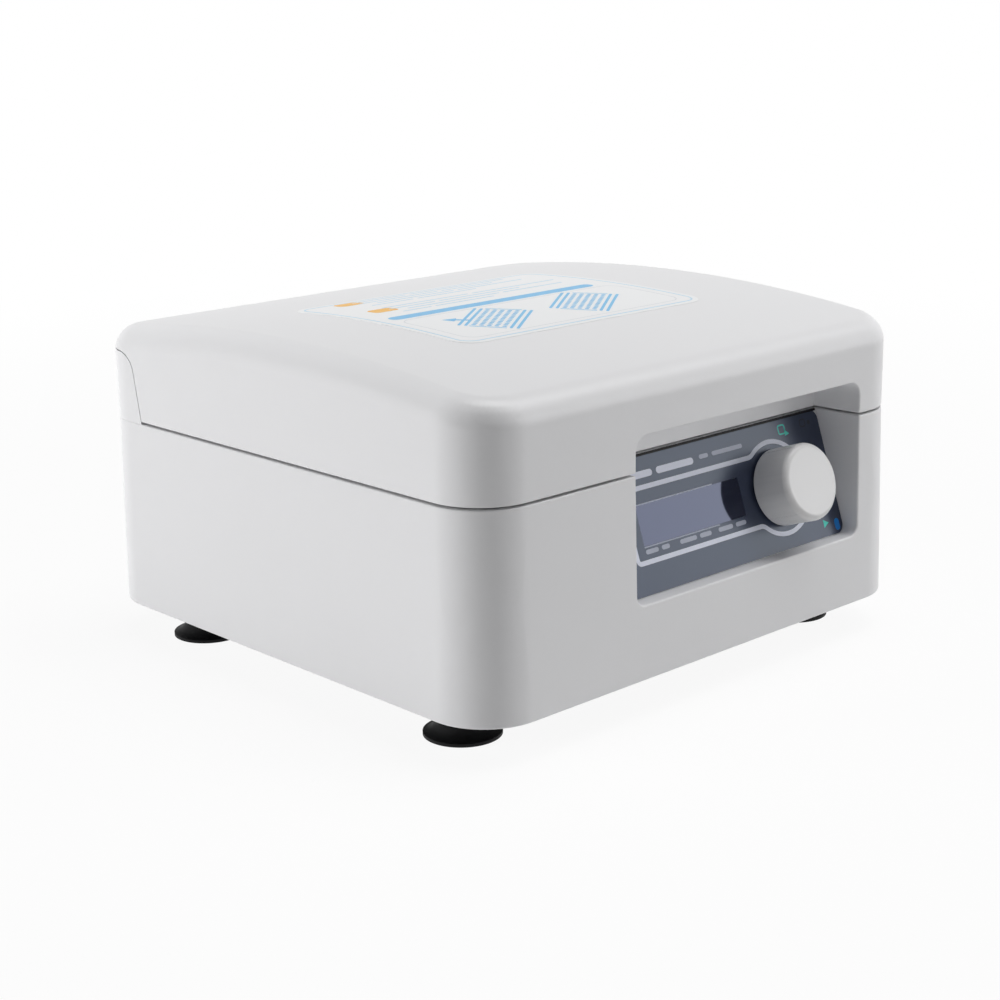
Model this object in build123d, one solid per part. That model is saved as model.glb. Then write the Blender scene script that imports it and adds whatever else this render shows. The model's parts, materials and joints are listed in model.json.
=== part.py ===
from build123d import *
import math
import os

# Microplate thermal mixer. Millimetres, +Z up, control panel towards -Y.
# The origin is on the desk, at the centre of the four feet.
# Sizes run outwards: the microplates set the platform, the platform the chamber, the chamber the case.

# Microplates in their nests
plate_width = 85.48  # a standard microplate's footprint, long side front to back
plate_length = 127.76
plate_clearance = 0.9
nest_rib = 8.62
nest_side = 7.31
nest_end = 9.67
nest_corner = 3.0
seat_rise = 0.6  # a raised land under each microplate
seat_inset = 2.5
nest_height = 4.0
post_height = 9.0
post_size = 9.0
post_stand = 2.2  # a post's outer faces stand this far outside its window
clamp_width = 22.0
clamp_depth = 5.0
clamp_height = 2.4
clamp_finger = 14.0
clamp_reach = 1.6
clamp_travel = 2.0
clamp_slack = 0.3
clamp_shelf = 0.5

# Clearances
static_fit = 0.2
running_fit = 0.03
seat_gap = 0.3
thread_fit = 0.05
overcut = 1.0  # how far a cut runs on past the face it opens

# Chamber
platform_side_gap = 7.5
platform_end_gap = 4.0
tray_wall = 1.5
tray_corner = 10.0
tray_flange = 9.0
tray_clearance = 2.3  # between the counterweight and the tray
shaft_hole_margin = 4.5
deck_drop = 2.5
deck_thickness = 3.0

# Case: what stands round the chamber's flange
side_zone = 19.0
panel_zone = 39.8
cover_zone = 47.8
corner_radius = 25.75
wall = 3.0
foot_gap = 16.7  # the base wall stops this far above the desk
skirt_flare = 1.8  # the base wall leans out by this much at its foot
parting_height = 106.3
parting_gap = 1.0
crown_rise = 50.5  # roof over the parting line, at its crown and at the front and back
edge_rise = 40.3
roof_fillet = 12.0
seam_round = 0.7
foot_round = 1.2
mouth_round = 0.8
seam_break = 0.1  # the mouth's rounding ends this far from the seam's

# Control recess: it crosses the parting line, so base and lid share it
recess_width = 149.0
recess_centre_x = 26.3
recess_rise = 15.6
recess_fall = 56.7
recess_floor_radius = 5.0
recess_top_radius = 7.0
recess_depth = 25.25  # from the front face to the panel, at the parting line
panel_tilt = 18.88
lid_notch_draft = 3.0

# Control panel, measured behind the overlay's face
overlay_thickness = 0.5
overlay_margin = 0.4
window_width = 75.0
window_height = 17.6
window_x = -0.5
window_y = -30.6
window_thickness = 2.5
window_sink = 0.1
display_margin = 3.0
bezel_depth = 1.2
front_board_depth = 8.2
front_board_thickness = 1.6
front_board_width = 138.0
front_board_height = 46.0
front_board_y = -31.0
panel_boss_radius = 3.2
display_board_gap = 0.3

# Knob and its encoder
knob_x = 62.2
knob_y = -31.35
knob_radius = 17.6
knob_length = 20.3
knob_wall = 2.4
knob_round = 2.8
knob_break = 0.5
knob_lift = 0.9
knob_hub_radius = 6.0
push_travel = 0.6
shaft_radius = 3.0
shaft_flat = 2.4
shaft_cap = 2.0
encoder_size = 13.0
encoder_floor = 0.4
bush_radius = 3.8
bush_height = 1.6
rotor_radius = 5.0
rotor_height = 2.4
rotor_lift = 0.8

# Rear hinge cover
cover_margin = 12.0  # deck between the chamber's flange and the cover
cover_lean = 10.45
cover_rise = 31.7
cover_front_radius = 10.5
cover_wall = 2.5
cover_gap = 0.5
cover_boss_inset_x = (95.0, 25.0)
cover_boss_inset_y = 17.3
cover_boss_radius = 4.5

# Lid hinge
hinge_inset_x = 55.0
hinge_inset_y = 8.3
hinge_radius = 12.0
hinge_arm_width = 24.0
hinge_side_gap = 1.0
hinge_barrel_radius = 7.0
hinge_pin_radius = 2.5
hinge_plate_length = 12.0
hinge_plate_thickness = 4.0
hinge_notch_depth = 9.0
hinge_notch_reach = 20.0
hinge_screw_pitch = 15.0
hinge_screw_setback = 8.0
hinge_screw_depth = 6.0
hinge_screw_tip = 1.0
hinge_screw_boss = 4.0

# Lid inside
liner_thickness = 2.0
liner_gap = 0.4
well_step = 1.5
well_rise = 21.7
lid_plate_margin = 4.0
lid_plate_thickness = 3.0
insulation_thickness = 12.0
gasket_width = 4.0
gasket_round = 0.6
lid_boss_radius = 5.5
lid_boss_inset = 8.0

# Bottom plate, feet and screws
plate_thickness = 2.0
plate_recess = 1.3
plate_boss_radius = 5.0
plate_boss_inset = 6.0
plate_boss_height = 40.0
side_screw_pitch = 70.0
foot_inset_x = 26.7
foot_inset_y = 41.8
foot_rim_radius = 16.7
foot_rim_width = 2.2
foot_lip = 1.4
foot_neck_radius = 11.5
foot_neck_height = 5.5
foot_plug_step = 0.8
foot_dome = 2.6
foot_screw_rise = 6.0
nut_radius = 3.2
nut_height = 2.4
screw_radius = 1.5
screw_head_radius = 2.9
screw_head_height = 1.8
screw_head_round = 0.8
screw_length = 10.0
vent_length = 34.0
vent_width = 3.0
vent_pitch = 8.0
vent_count = 9

# Orbital drive
orbit_radius = 1.5
shaft_break = 0.8
shaft_stub = 2.0
frame_inset = 6.0
frame_corner = 14.0
frame_thickness = 6.0
frame_window_corner = 8.0
leg_radius = 6.0
leg_inset = 13.0
boss_radius = 19.0
boss_height = 24.0
rib_reach = 16.0
rib_thickness = 4.0
main_bearing_bore = 6.0
main_bearing_radius = 14.0
main_bearing_height = 8.0
pin_bearing_bore = 4.0
pin_bearing_radius = 11.0
pin_bearing_height = 7.0
idler_bearing_bore = 2.5
idler_bearing_radius = 6.5
idler_bearing_height = 4.0
bearing_lip = 1.5
shield_inset = 1.2
shield_depth = 0.4
idler_inset_x = 16.0
idler_inset_y = 22.0
idler_post_wall = 2.5
idler_web_radius = 8.0
idler_web_height = 4.0
idler_drop = 2.0
counterweight_radius = 50.0
counterweight_height = 7.0
counterweight_rim = 6.0
counterweight_hub = 20.0
counterweight_spoke = 7.0
pulley_teeth = 48
motor_teeth = 16
belt_pitch = 3.0
belt_width = 5.0
belt_thickness = 1.4
belt_groove = 0.81
belt_slack = 0.2
flange_height = 1.0
flange_width = 1.6
motor_distance = 70.0
motor_margin = 8.0
motor_radius = 21.0
motor_height = 28.0
motor_clearance = 4.0  # between the motor and the bottom plate
motor_shaft_radius = 2.5
motor_groove = 1.6
motor_groove_pitch = 4.0
motor_groove_depth = 1.2

# Platform
platform_corner = 6.0
carrier_thickness = 4.0
carrier_inset = 2.0
heater_inset = 4.0
hub_wall = 4.0
pad_thickness = 3.0
heater_thickness = 1.0
block_thickness = 8.0
block_break = 0.6
platform_screw_inset_x = 40.0
platform_screw_inset_y = 12.0

# Electrics at the back and under the frame
rear_panel_x = 56.0
rear_panel_z = 46.0
rear_panel_width = 108.0
rear_panel_height = 38.0
rear_panel_corner = 3.0
rear_panel_inset = 1.3
inlet_offset = 22.0
inlet_width = 27.0
inlet_height = 19.6
inlet_depth = 22.0
inlet_flange = 50.0
inlet_flange_height = 24.0
inlet_flange_corner = 4.0
inlet_flange_thickness = 2.5
inlet_hole_pitch = 40.0
inlet_hole_radius = 1.7
socket_width = 23.4
socket_height = 15.6
socket_depth = 17.0
socket_cut = 4.0
blade_length = 14.0
blade_width = 2.0
blade_height = 4.0
blade_places = ((-7.0, -1.5), (7.0, -1.5), (0.0, 2.5))
switch_offset = -30.0
switch_width = 15.0
switch_height = 22.0
switch_lip = 1.5
switch_flange = 2.0
switch_depth = 16.0
switch_wall = 1.1
rocker_angle = 8.0
rocker_radius = 8.8
rocker_gap = 0.3
rocker_depth = 2.0
rocker_back = 3.4
rocker_lift = 5.4
rocker_pivot_radius = 1.5
board_thickness = 1.6
board_standoff = 6.0
standoff_radius = 2.8
board_hole_inset = 5.0
supply_inset_x = 57.0
supply_inset_y = 35.3
supply_width = 88.0
supply_depth = 50.0
control_x = -62.0
control_offset = -1.0
control_width = 56.0
control_depth = 84.0
# components on a board: x and y from its centre, width, depth and height
front_components = ((0.0, 0.0, 14.0, 14.0, 1.6), (-42.0, -8.0, 24.0, 6.0, 6.0))
supply_components = ((-22.0, -4.0, 28.0, 24.0, 20.0), (24.0, -12.0, 22.0, 16.0, 2.0))
control_components = ((0.0, 12.0, 14.0, 14.0, 1.6), (14.0, -8.0, 16.0, 12.0, 10.0))
capacitor_places = ((2.0, 12.0), (16.0, 12.0))
capacitor_radius = 6.0
capacitor_height = 20.0
fin_places = ((14.0, -12.0), (19.0, -12.0), (24.0, -12.0), (29.0, -12.0), (34.0, -12.0))
fin_size = (1.6, 16.0, 18.0)
plug_places = ((-18.0, -32.0), (-6.0, -32.0), (6.0, -32.0), (18.0, -32.0))
plug_size = (8.0, 6.0, 8.0)

# Plan sizes that follow
nest_width = plate_width + plate_clearance
nest_length = plate_length + plate_clearance
nest_offset = (nest_width + nest_rib) / 2
platform_width = 2 * nest_width + nest_rib + 2 * nest_side
platform_depth = nest_length + 2 * nest_end
tray_width = platform_width + 2 * platform_side_gap + 2 * tray_wall
tray_depth = platform_depth + 2 * platform_end_gap + 2 * tray_wall
case_width = tray_width + 2 * tray_flange + 2 * side_zone
case_depth = tray_depth + 2 * tray_flange + panel_zone + cover_zone
half_width = case_width / 2
half_depth = case_depth / 2
chamber_y = panel_zone + tray_flange + tray_depth / 2 - half_depth
well_width = tray_width - 2 * well_step
well_depth = tray_depth - 2 * well_step
cover_front_y = half_depth - cover_zone + cover_margin
hinge_x = half_width - hinge_inset_x
hinge_y = half_depth - hinge_inset_y
hinge_notch_front = hinge_y - hinge_notch_reach
foot_x = half_width - foot_inset_x
foot_y = half_depth - foot_inset_y
frame_width = platform_width
frame_depth = platform_depth - 2 * frame_inset
leg_x = frame_width / 2 - leg_inset
leg_y = frame_depth / 2 - leg_inset
idler_x = platform_width / 2 - idler_inset_x
idler_y = platform_depth / 2 - idler_inset_y
motor_y = chamber_y + motor_distance
pulley_radius = pulley_teeth * belt_pitch / (2 * math.pi)
motor_pulley_radius = motor_teeth * belt_pitch / (2 * math.pi)
rear_plane = half_depth - rear_panel_inset
inlet_x = rear_panel_x + inlet_offset
switch_x = rear_panel_x + switch_offset
supply_x = supply_inset_x - half_width
supply_y = half_depth - supply_inset_y
control_y = chamber_y + control_offset

# Heights that follow
base_rim = parting_height - parting_gap / 2
lid_rim = parting_height + parting_gap / 2
roof_crown = parting_height + crown_rise
roof_edge = parting_height + edge_rise
recess_top = parting_height + recess_rise
recess_floor = parting_height - recess_fall
cover_top = parting_height + cover_rise
hinge_z = cover_top - hinge_radius
hinge_notch_floor = hinge_z - hinge_notch_depth
well_ceiling = parting_height + well_rise
deck_top = base_rim - deck_drop
deck_under = deck_top - deck_thickness
plate_under = foot_gap + plate_recess
plate_top = plate_under + plate_thickness
liner_under = lid_rim + liner_gap
frame_height = plate_top + motor_clearance + motor_height
frame_top = frame_height + frame_thickness
boss_under = frame_top - boss_height
pulley_under = frame_top + seat_gap
pulley_height = belt_width + 2 * flange_height + 2 * belt_slack
counterweight_under = pulley_under + pulley_height
pin_shoulder = counterweight_under + counterweight_height
tray_floor_height = pin_shoulder + tray_clearance
tray_inside = tray_floor_height + tray_wall
hub_under = tray_inside + tray_wall
carrier_top = hub_under + pin_bearing_height
pad_top = carrier_top + pad_thickness
heater_top = pad_top + heater_thickness
block_top = heater_top + block_thickness
nest_top = block_top + nest_height
idler_bearing_top = tray_floor_height - idler_drop
idler_bearing_low = idler_bearing_top - idler_bearing_height
idler_web_under = idler_bearing_top + seat_gap
board_under = plate_top + board_standoff
draft = math.degrees(math.atan(skirt_flare / (base_rim - foot_gap)))
tilt = math.radians(panel_tilt)
sides = (-1, 1)
corners = [(x, y) for x in sides for y in sides]

panel_plane = Plane(
    origin=(0, recess_depth - half_depth, parting_height),
    x_dir=(1, 0, 0),
    z_dir=(0, -math.cos(tilt), math.sin(tilt)),
)


def flare_at(z):
    """How far the base wall stands out of the parting outline at height z."""
    return skirt_flare * (base_rim - z) / (base_rim - foot_gap)


def outline(grow=0.0):
    return RectangleRounded(case_width + 2 * grow, case_depth + 2 * grow, corner_radius + grow)


def prism(sketch, z_low, z_high, taper=0.0):
    return extrude(Pos(0, 0, z_low) * sketch, z_high - z_low, taper=taper)


def along_x(profile, x_low, x_high):
    """A side profile (y, z) carried from one x to another."""
    return extrude(Plane.YZ.offset(x_low) * profile, x_high - x_low, dir=(1, 0, 0))


def along_y(profile, y_low, y_high):
    """A front profile (x, z) carried from one y to another."""
    return extrude(Plane.XZ.offset(-y_low) * profile, y_high - y_low, dir=(0, 1, 0))


def rod(x, y, radius, z_low, z_high):
    return Pos(x, y, z_low) * extrude(Circle(radius), z_high - z_low)


def on_panel(x, y, sketch, lift_low, lift_high):
    """A sketch on the sloping panel, between two distances in front of its face."""
    start = panel_plane.offset(lift_low) * (Pos(x, y) * sketch)
    return extrude(start, lift_high - lift_low)


def screw(x, y, z_face, length):
    """A pan-head screw put in from below: its head seats under z_face."""
    head = rod(x, y, screw_head_radius, z_face - screw_head_height, z_face)
    head = fillet(head.edges().sort_by(Axis.Z)[0], screw_head_round)
    return head + rod(x, y, screw_radius, z_face - screw_head_height / 2, z_face + length)


def bearing(x, y, bore, radius, height, z_low):
    """A shielded ball bearing: a ring with a shallow shield recess in each face."""
    ring = rod(x, y, radius, z_low, z_low + height)
    ring -= rod(x, y, bore + running_fit, z_low, z_low + height)
    shield = Circle(radius - shield_inset) - Circle(bore + shield_inset)
    for face in (z_low, z_low + height - shield_depth):
        ring -= Pos(x, y, face) * extrude(shield, shield_depth)
    return ring


# ---------- case forms that several pieces share ----------


def roof_profile(drop):
    """Side profile under the shallow front-to-back arch of the roof."""
    front = (-half_depth, roof_edge - drop)
    rear = (half_depth, roof_edge - drop)
    arch = ThreePointArc(front, (0, roof_crown - drop), rear)
    rest = Polyline(rear, (half_depth, foot_gap), (-half_depth, foot_gap), front)
    return make_face([arch, rest])


def upper_block(inset):
    """Everything above the base rim inside the case's skin, or inside its wall."""
    block = prism(outline(-inset), base_rim, 2 * roof_crown)
    block &= along_x(roof_profile(inset), -half_width, half_width)
    top = block.faces().sort_by(Axis.Z)[-1]
    return fillet(top.edges(), roof_fillet - inset)


def cover_region(grow):
    """Side profile of the rear cover: a leaning front, a flat top, and a rear arc about the hinge."""
    rise = cover_top - base_rim
    lean = math.tan(math.radians(cover_lean))
    low = base_rim - rise
    profile = Polygon(
        (cover_front_y - rise * lean, low),
        (cover_front_y + rise * lean, cover_top),
        (hinge_y + hinge_radius, cover_top),
        (hinge_y + hinge_radius, low),
        align=None,
    )
    tops = profile.vertices().sort_by(Axis.Y)[-2:].sort_by(Axis.X)
    profile = fillet(tops[0], cover_front_radius)
    rear = profile.vertices().sort_by(Axis.Y)[-2:].sort_by(Axis.X)[-1]
    profile = fillet(rear, hinge_radius)
    if grow:
        profile = offset(profile, grow)
    return along_x(profile, -case_width, case_width)


def lid_notch(grow):
    """The lid's share of the control recess, narrowing a little towards the back."""
    height = 2 * (recess_top - base_rim) + 2 * grow
    front = Plane(origin=(0, -half_depth - overcut, 0), x_dir=(-1, 0, 0), z_dir=(0, 1, 0))
    mouth = RectangleRounded(recess_width + 2 * grow, height, recess_top_radius + grow)
    mouth = front * (Pos(-recess_centre_x, base_rim) * mouth)
    return extrude(mouth, recess_depth + overcut + grow, taper=lid_notch_draft)


def base_pocket(grow, depth):
    """The base's share of the control recess, ending at the sloping panel."""
    z_high = roof_crown
    height = z_high - recess_floor + grow
    mouth = Pos(recess_centre_x, z_high - height / 2) * RectangleRounded(
        recess_width + 2 * grow, height, recess_floor_radius + grow
    )
    bore = along_y(mouth, -case_depth, 0)
    return bore & extrude(panel_plane.offset(-depth) * Rectangle(case_width, case_depth), half_depth)


def round_mouth(shape, z_low, z_high):
    """Rounds the edge where the control recess breaks through the front wall."""
    reach = recess_width / 2 + mouth_round
    mouth = [
        edge for edge in shape.edges()
        if edge.center().Y < -half_depth + mouth_round / 2
        and abs(edge.center().X - recess_centre_x) < reach
        and z_low < edge.center().Z < z_high
    ]
    return fillet(mouth, mouth_round)


def hinge_notch(x, grow):
    width = hinge_arm_width + 2 * hinge_side_gap + 2 * grow
    z_low = hinge_notch_floor - grow
    y_low = hinge_notch_front - grow
    height = roof_crown - z_low
    depth = case_depth - y_low
    return Pos(x, y_low + depth / 2, z_low + height / 2) * Box(width, depth, height)


# ---------- base ----------


def side_screw_y():
    """Screws along each side wall, in the bottom plate and in the lid's liner."""
    return (-side_screw_pitch, 0, side_screw_pitch)


def bottom_screw_places():
    return [(x * (half_width - plate_boss_inset), y) for x in sides for y in side_screw_y()]


def leg_places():
    """The drive frame's four legs."""
    return [(x * leg_x, chamber_y + y * leg_y) for x, y in corners]


def rear_slots():
    """Cooling slots in the rear wall, behind the power supply."""
    middle = (vent_count - 1) / 2
    for i in range(vent_count):
        yield Pos(supply_x + (i - middle) * vent_pitch, rear_panel_z) * SlotOverall(
            vent_length, vent_width, rotation=90
        )


def base_shell():
    outer = prism(outline(skirt_flare), foot_gap, base_rim, draft)
    outer = fillet(outer.faces().sort_by(Axis.Z)[-1].edges(), seam_round)
    outer = fillet(outer.faces().sort_by(Axis.Z)[0].edges(), foot_round)
    cavity = prism(outline(skirt_flare - wall), foot_gap, base_rim, draft)
    shell = outer - (cavity & prism(outline(skirt_flare), foot_gap, deck_under))
    in_front = Pos(0, cover_front_y - cover_gap - case_depth) * Rectangle(case_width, 2 * case_depth)
    shell -= prism(outline(-wall) & in_front, deck_top, base_rim + parting_gap)
    shell -= prism(
        Pos(0, chamber_y) * RectangleRounded(
            tray_width + 2 * static_fit, tray_depth + 2 * static_fit, tray_corner + static_fit),
        deck_under - overcut, deck_top + overcut,
    )
    # control recess
    behind = overlay_thickness
    shell += base_pocket(wall, behind + wall) & outer
    shell -= base_pocket(0, behind)
    shell = round_mouth(shell, recess_floor - mouth_round, base_rim - seam_round - seam_break)
    shell -= on_panel(
        window_x, window_y,
        Rectangle(window_width + 2 * static_fit, window_height + 2 * static_fit),
        -behind - wall - overcut, overcut,
    )
    shell -= on_panel(
        knob_x, knob_y, Circle(bush_radius + static_fit), -behind - wall - overcut, overcut)
    post = Circle(panel_boss_radius) - Circle(screw_radius)
    for x, y in front_board_holes():
        shell += on_panel(x, y, post, -front_board_depth, -behind - wall / 2)
    # screw bosses that grow out of the side walls
    for x, y in bottom_screw_places():
        shell += rod(x, y, plate_boss_radius, plate_top, plate_top + plate_boss_height) & outer
        shell -= rod(x, y, screw_radius + thread_fit, plate_top, plate_top + screw_length)
    # rear: flat panel for the electrics, slots, and holes for the cover's screws
    frame = Pos(rear_panel_x, rear_panel_z) * RectangleRounded(
        rear_panel_width, rear_panel_height, rear_panel_corner)
    frame_out = Pos(rear_panel_x, rear_panel_z) * RectangleRounded(
        rear_panel_width + 2 * wall, rear_panel_height + 2 * wall, rear_panel_corner + wall)
    shell += along_y(frame_out, rear_plane - wall, case_depth) & outer
    shell -= along_y(frame, rear_plane, case_depth)
    inlet_hole = Rectangle(inlet_width + 2 * static_fit, inlet_height + 2 * static_fit)
    switch_hole = Rectangle(switch_width - switch_lip, switch_height - switch_lip)
    for x, hole in ((inlet_x, inlet_hole), (switch_x, switch_hole)):
        shell -= along_y(Pos(x, rear_panel_z) * hole, rear_plane - 2 * wall, half_depth)
    for slot in rear_slots():
        shell -= along_y(slot, half_depth - 2 * wall, case_depth)
    for x, y in cover_screw_places():
        shell -= rod(x, y, screw_radius + static_fit, deck_under - wall, lid_rim)
    return shell


def cover_screw_places():
    y = half_depth - cover_boss_inset_y
    return [(s * (half_width - x), y) for s in sides for x in cover_boss_inset_x]


def rear_cover():
    block = upper_block(0)
    cover = block & cover_region(0)
    hollow = upper_block(cover_wall) & cover_region(-cover_wall)
    full = cover
    cover -= hollow
    for x in sides:
        cover += hinge_notch(x * hinge_x, cover_wall) & full
    for x, y in cover_screw_places():
        cover += rod(x, y, cover_boss_radius, base_rim, cover_top) & full
        cover -= rod(x, y, screw_radius + thread_fit, base_rim, base_rim + screw_length)
    for x in sides:
        cover -= hinge_notch(x * hinge_x, 0)
        middle = x * hinge_x
        bore = Pos(hinge_y, hinge_z) * Circle(hinge_pin_radius + running_fit)
        cover -= along_x(bore, middle - hinge_arm_width, middle + hinge_arm_width)
    return cover


def cover_screws():
    return Compound([screw(x, y, deck_under, screw_length) for x, y in cover_screw_places()])


def bottom_plate():
    edge = flare_at(plate_under) - wall - 2 * static_fit
    plate = prism(outline(edge), plate_under, plate_top)
    for x, y in foot_places():
        plate -= rod(x, y, screw_radius + static_fit, plate_under, plate_top)
    for x, y in (*bottom_screw_places(), *leg_places()):
        plate -= rod(x, y, screw_radius + static_fit, plate_under, plate_top)
    slot = SlotOverall(vent_length, vent_width, rotation=90)
    middle = (vent_count - 1) / 2
    for i in range(vent_count):
        for y in sides:
            place = Pos((i - middle) * vent_pitch, chamber_y + y * leg_y)
            plate -= prism(place * slot, plate_under, plate_top)
    for cx, cy, w, d in boards():
        for x, y in corners:
            px, py = cx + x * (w / 2 - board_hole_inset), cy + y * (d / 2 - board_hole_inset)
            plate += rod(px, py, standoff_radius, plate_top, board_under)
    return plate


def bottom_screws():
    return Compound([screw(x, y, plate_under, screw_length) for x, y in bottom_screw_places()])


def foot_places():
    return [(x * foot_x, y * foot_y) for x, y in corners]


def suction_foot(x, y):
    """A rubber suction foot: thin flared lip, waist, and a plug with a recess for its screw."""
    seat = foot_rim_radius - foot_rim_width
    plug = foot_neck_radius + foot_plug_step
    rim = (foot_rim_radius, foot_lip)
    neck = (foot_neck_radius, foot_neck_height)
    bend = ((3 * foot_neck_radius + 2 * foot_rim_radius) / 5, foot_neck_height / 2)
    shoulder = (foot_neck_height + plate_under) / 2 + foot_lip
    under = Polyline(
        (0, foot_dome), (seat - foot_lip, foot_lip / 3), (seat, 0), (foot_rim_radius, 0), rim)
    flare = ThreePointArc(rim, bend, neck)
    body = Polyline(neck, (plug, shoulder), (plug, plate_under), (0, plate_under), (0, foot_dome))
    foot = revolve(Plane.XZ * make_face([under, flare, body]), Axis.Z)
    foot -= rod(0, 0, screw_head_radius + static_fit, 0, plate_under - foot_screw_rise)
    foot -= rod(0, 0, screw_radius + thread_fit, 0, plate_under)
    return Pos(x, y, 0) * foot


def foot_screws():
    """Screws through the feet into nuts on the plate."""
    made = []
    for x, y in foot_places():
        nut = RegularPolygon(nut_radius, 6) - Circle(screw_radius)
        nut = prism(Pos(x, y) * nut, plate_top, plate_top + nut_height)
        length = foot_screw_rise + plate_thickness + nut_height + screw_radius
        made.append(screw(x, y, plate_under - foot_screw_rise, length) + nut)
    return Compound(made)


# ---------- chamber ----------


def chamber_tray():
    """Spill tray round the platform, hung by its flange in the deck opening."""
    rim = Pos(0, chamber_y) * RectangleRounded(
        tray_width + 2 * tray_flange, tray_depth + 2 * tray_flange, tray_corner + tray_flange)
    pan = Pos(0, chamber_y) * RectangleRounded(tray_width, tray_depth, tray_corner)
    inside = Pos(0, chamber_y) * RectangleRounded(
        tray_width - 2 * tray_wall, tray_depth - 2 * tray_wall, tray_corner - tray_wall)
    tray = prism(rim, deck_top, deck_top + tray_wall)
    tray += prism(pan, tray_floor_height, deck_top + tray_wall)
    tray -= prism(inside, tray_inside, deck_top + 2 * tray_wall)
    shaft_hole = pin_bearing_bore + orbit_radius + shaft_hole_margin
    tray -= rod(0, chamber_y, shaft_hole, tray_floor_height, tray_inside)
    idler_hole = idler_web_radius + orbit_radius + idler_post_wall
    for x, y in idler_places():
        tray -= rod(x, y, idler_hole, tray_floor_height, tray_inside)
    return tray


# ---------- control panel ----------


def panel_overlay():
    """Printed sheet on the sloping panel, with a hole for the window and the encoder bush."""
    slope = 1 / math.cos(tilt)
    height = (base_rim - recess_floor) * slope - 2 * overlay_margin
    middle = (base_rim - parting_height) * slope - overlay_margin - height / 2
    width = recess_width - 2 * overlay_margin
    sheet = RectangleRounded(width, height, recess_floor_radius - overlay_margin)
    sheet = on_panel(recess_centre_x, middle, sheet, -overlay_thickness, 0)
    window = Rectangle(window_width, window_height)
    sheet -= on_panel(window_x, window_y, window, -overcut, overcut)
    return sheet - on_panel(knob_x, knob_y, Circle(bush_radius + static_fit), -overcut, overcut)


def display_window():
    pane = Rectangle(window_width - 2 * thread_fit, window_height - 2 * thread_fit)
    return on_panel(window_x, window_y, pane, -window_thickness, -window_sink)


def display_module():
    """Character display behind the window, with its metal bezel frame."""
    low = -front_board_depth
    high = -overlay_thickness - wall - display_board_gap
    frame = Rectangle(window_width + 2 * display_margin, window_height + 2 * display_margin)
    window = Rectangle(window_width, window_height)
    module = on_panel(window_x, window_y, frame, low, high)
    return module - on_panel(window_x, window_y, window, high - bezel_depth, high)


def front_board_holes():
    reach_x = front_board_width / 2 - board_hole_inset
    reach_y = front_board_height / 2 - board_hole_inset
    return [(recess_centre_x + x * reach_x, front_board_y + y * reach_y) for x, y in corners]


def front_board():
    board = Rectangle(front_board_width, front_board_height)
    low = -front_board_depth - front_board_thickness
    made = on_panel(recess_centre_x, front_board_y, board, low, -front_board_depth)
    for x, y, width, depth, tall in front_components:
        place = (recess_centre_x + x, front_board_y + y)
        made += on_panel(*place, Rectangle(width, depth), low - tall, low + front_board_thickness / 2)
    for x, y in front_board_holes():
        made -= on_panel(x, y, Circle(screw_radius), low, 0)
    return made


def encoder_body():
    """Rotary encoder: a square case with a threaded bush, hollow for its rotor and shaft."""
    low = -front_board_depth
    high = -overlay_thickness - wall - display_board_gap
    case = on_panel(knob_x, knob_y, Rectangle(encoder_size, encoder_size), low, high)
    case += on_panel(knob_x, knob_y, Circle(bush_radius), high - encoder_floor, bush_height)
    bore = Circle(shaft_radius + running_fit)
    case -= on_panel(knob_x, knob_y, bore, low + encoder_floor, knob_length)
    room = Circle(rotor_radius + static_fit)
    play = static_fit / 2
    return case - on_panel(
        knob_x, knob_y, room, rotor_low() - play, rotor_low() + rotor_height + play)


def rotor_low():
    return -front_board_depth + rotor_lift


def shaft_section(radius, flat):
    return Circle(radius) - Pos(flat + radius, 0) * Rectangle(2 * radius, 4 * radius)


def encoder_rotor():
    ring = Circle(rotor_radius) - shaft_section(shaft_radius + running_fit, shaft_flat + running_fit)
    return on_panel(knob_x, knob_y, ring, rotor_low(), rotor_low() + rotor_height)


def shaft_end():
    """The shaft stops short of the knob's face wall."""
    return knob_length - knob_wall - shaft_cap


def encoder_shaft():
    """The knob's shaft, with a flat where it slides through the rotor."""
    low = -front_board_depth + encoder_floor + push_travel + static_fit / 2
    flat_end = -overlay_thickness
    flat = on_panel(knob_x, knob_y, shaft_section(shaft_radius, shaft_flat), low, flat_end)
    return flat + on_panel(knob_x, knob_y, Circle(shaft_radius), flat_end, shaft_end())


def knob():
    """A turned-over cup with a hub for the shaft, rounded at its face and broken at its skirt."""
    cup = on_panel(knob_x, knob_y, Circle(knob_radius), knob_lift, knob_length)
    ends = cup.faces().filter_by(GeomType.PLANE).sort_by(Axis.Y)
    cup = fillet(ends[0].edges(), knob_round)
    cup = chamfer(cup.faces().filter_by(GeomType.PLANE).sort_by(Axis.Y)[-1].edges(), knob_break)
    cup -= on_panel(knob_x, knob_y, Circle(knob_radius - knob_wall), 0, knob_length - knob_wall)
    hub = Circle(knob_hub_radius)
    cup += on_panel(knob_x, knob_y, hub, bush_height + knob_lift, knob_length - knob_wall / 2)
    return cup - on_panel(knob_x, knob_y, Circle(shaft_radius + running_fit / 2), 0, shaft_end())


# ---------- lid ----------


def lid_boss_places():
    return [(x * (half_width - lid_boss_inset), y) for x in sides for y in side_screw_y()]


def hinge_screw_places():
    """Two screws hold each hinge arm to the lid's skin over the cover."""
    y = hinge_y - hinge_screw_setback
    return [(s * hinge_x + t * hinge_screw_pitch / 2, y) for s in sides for t in sides]


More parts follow.
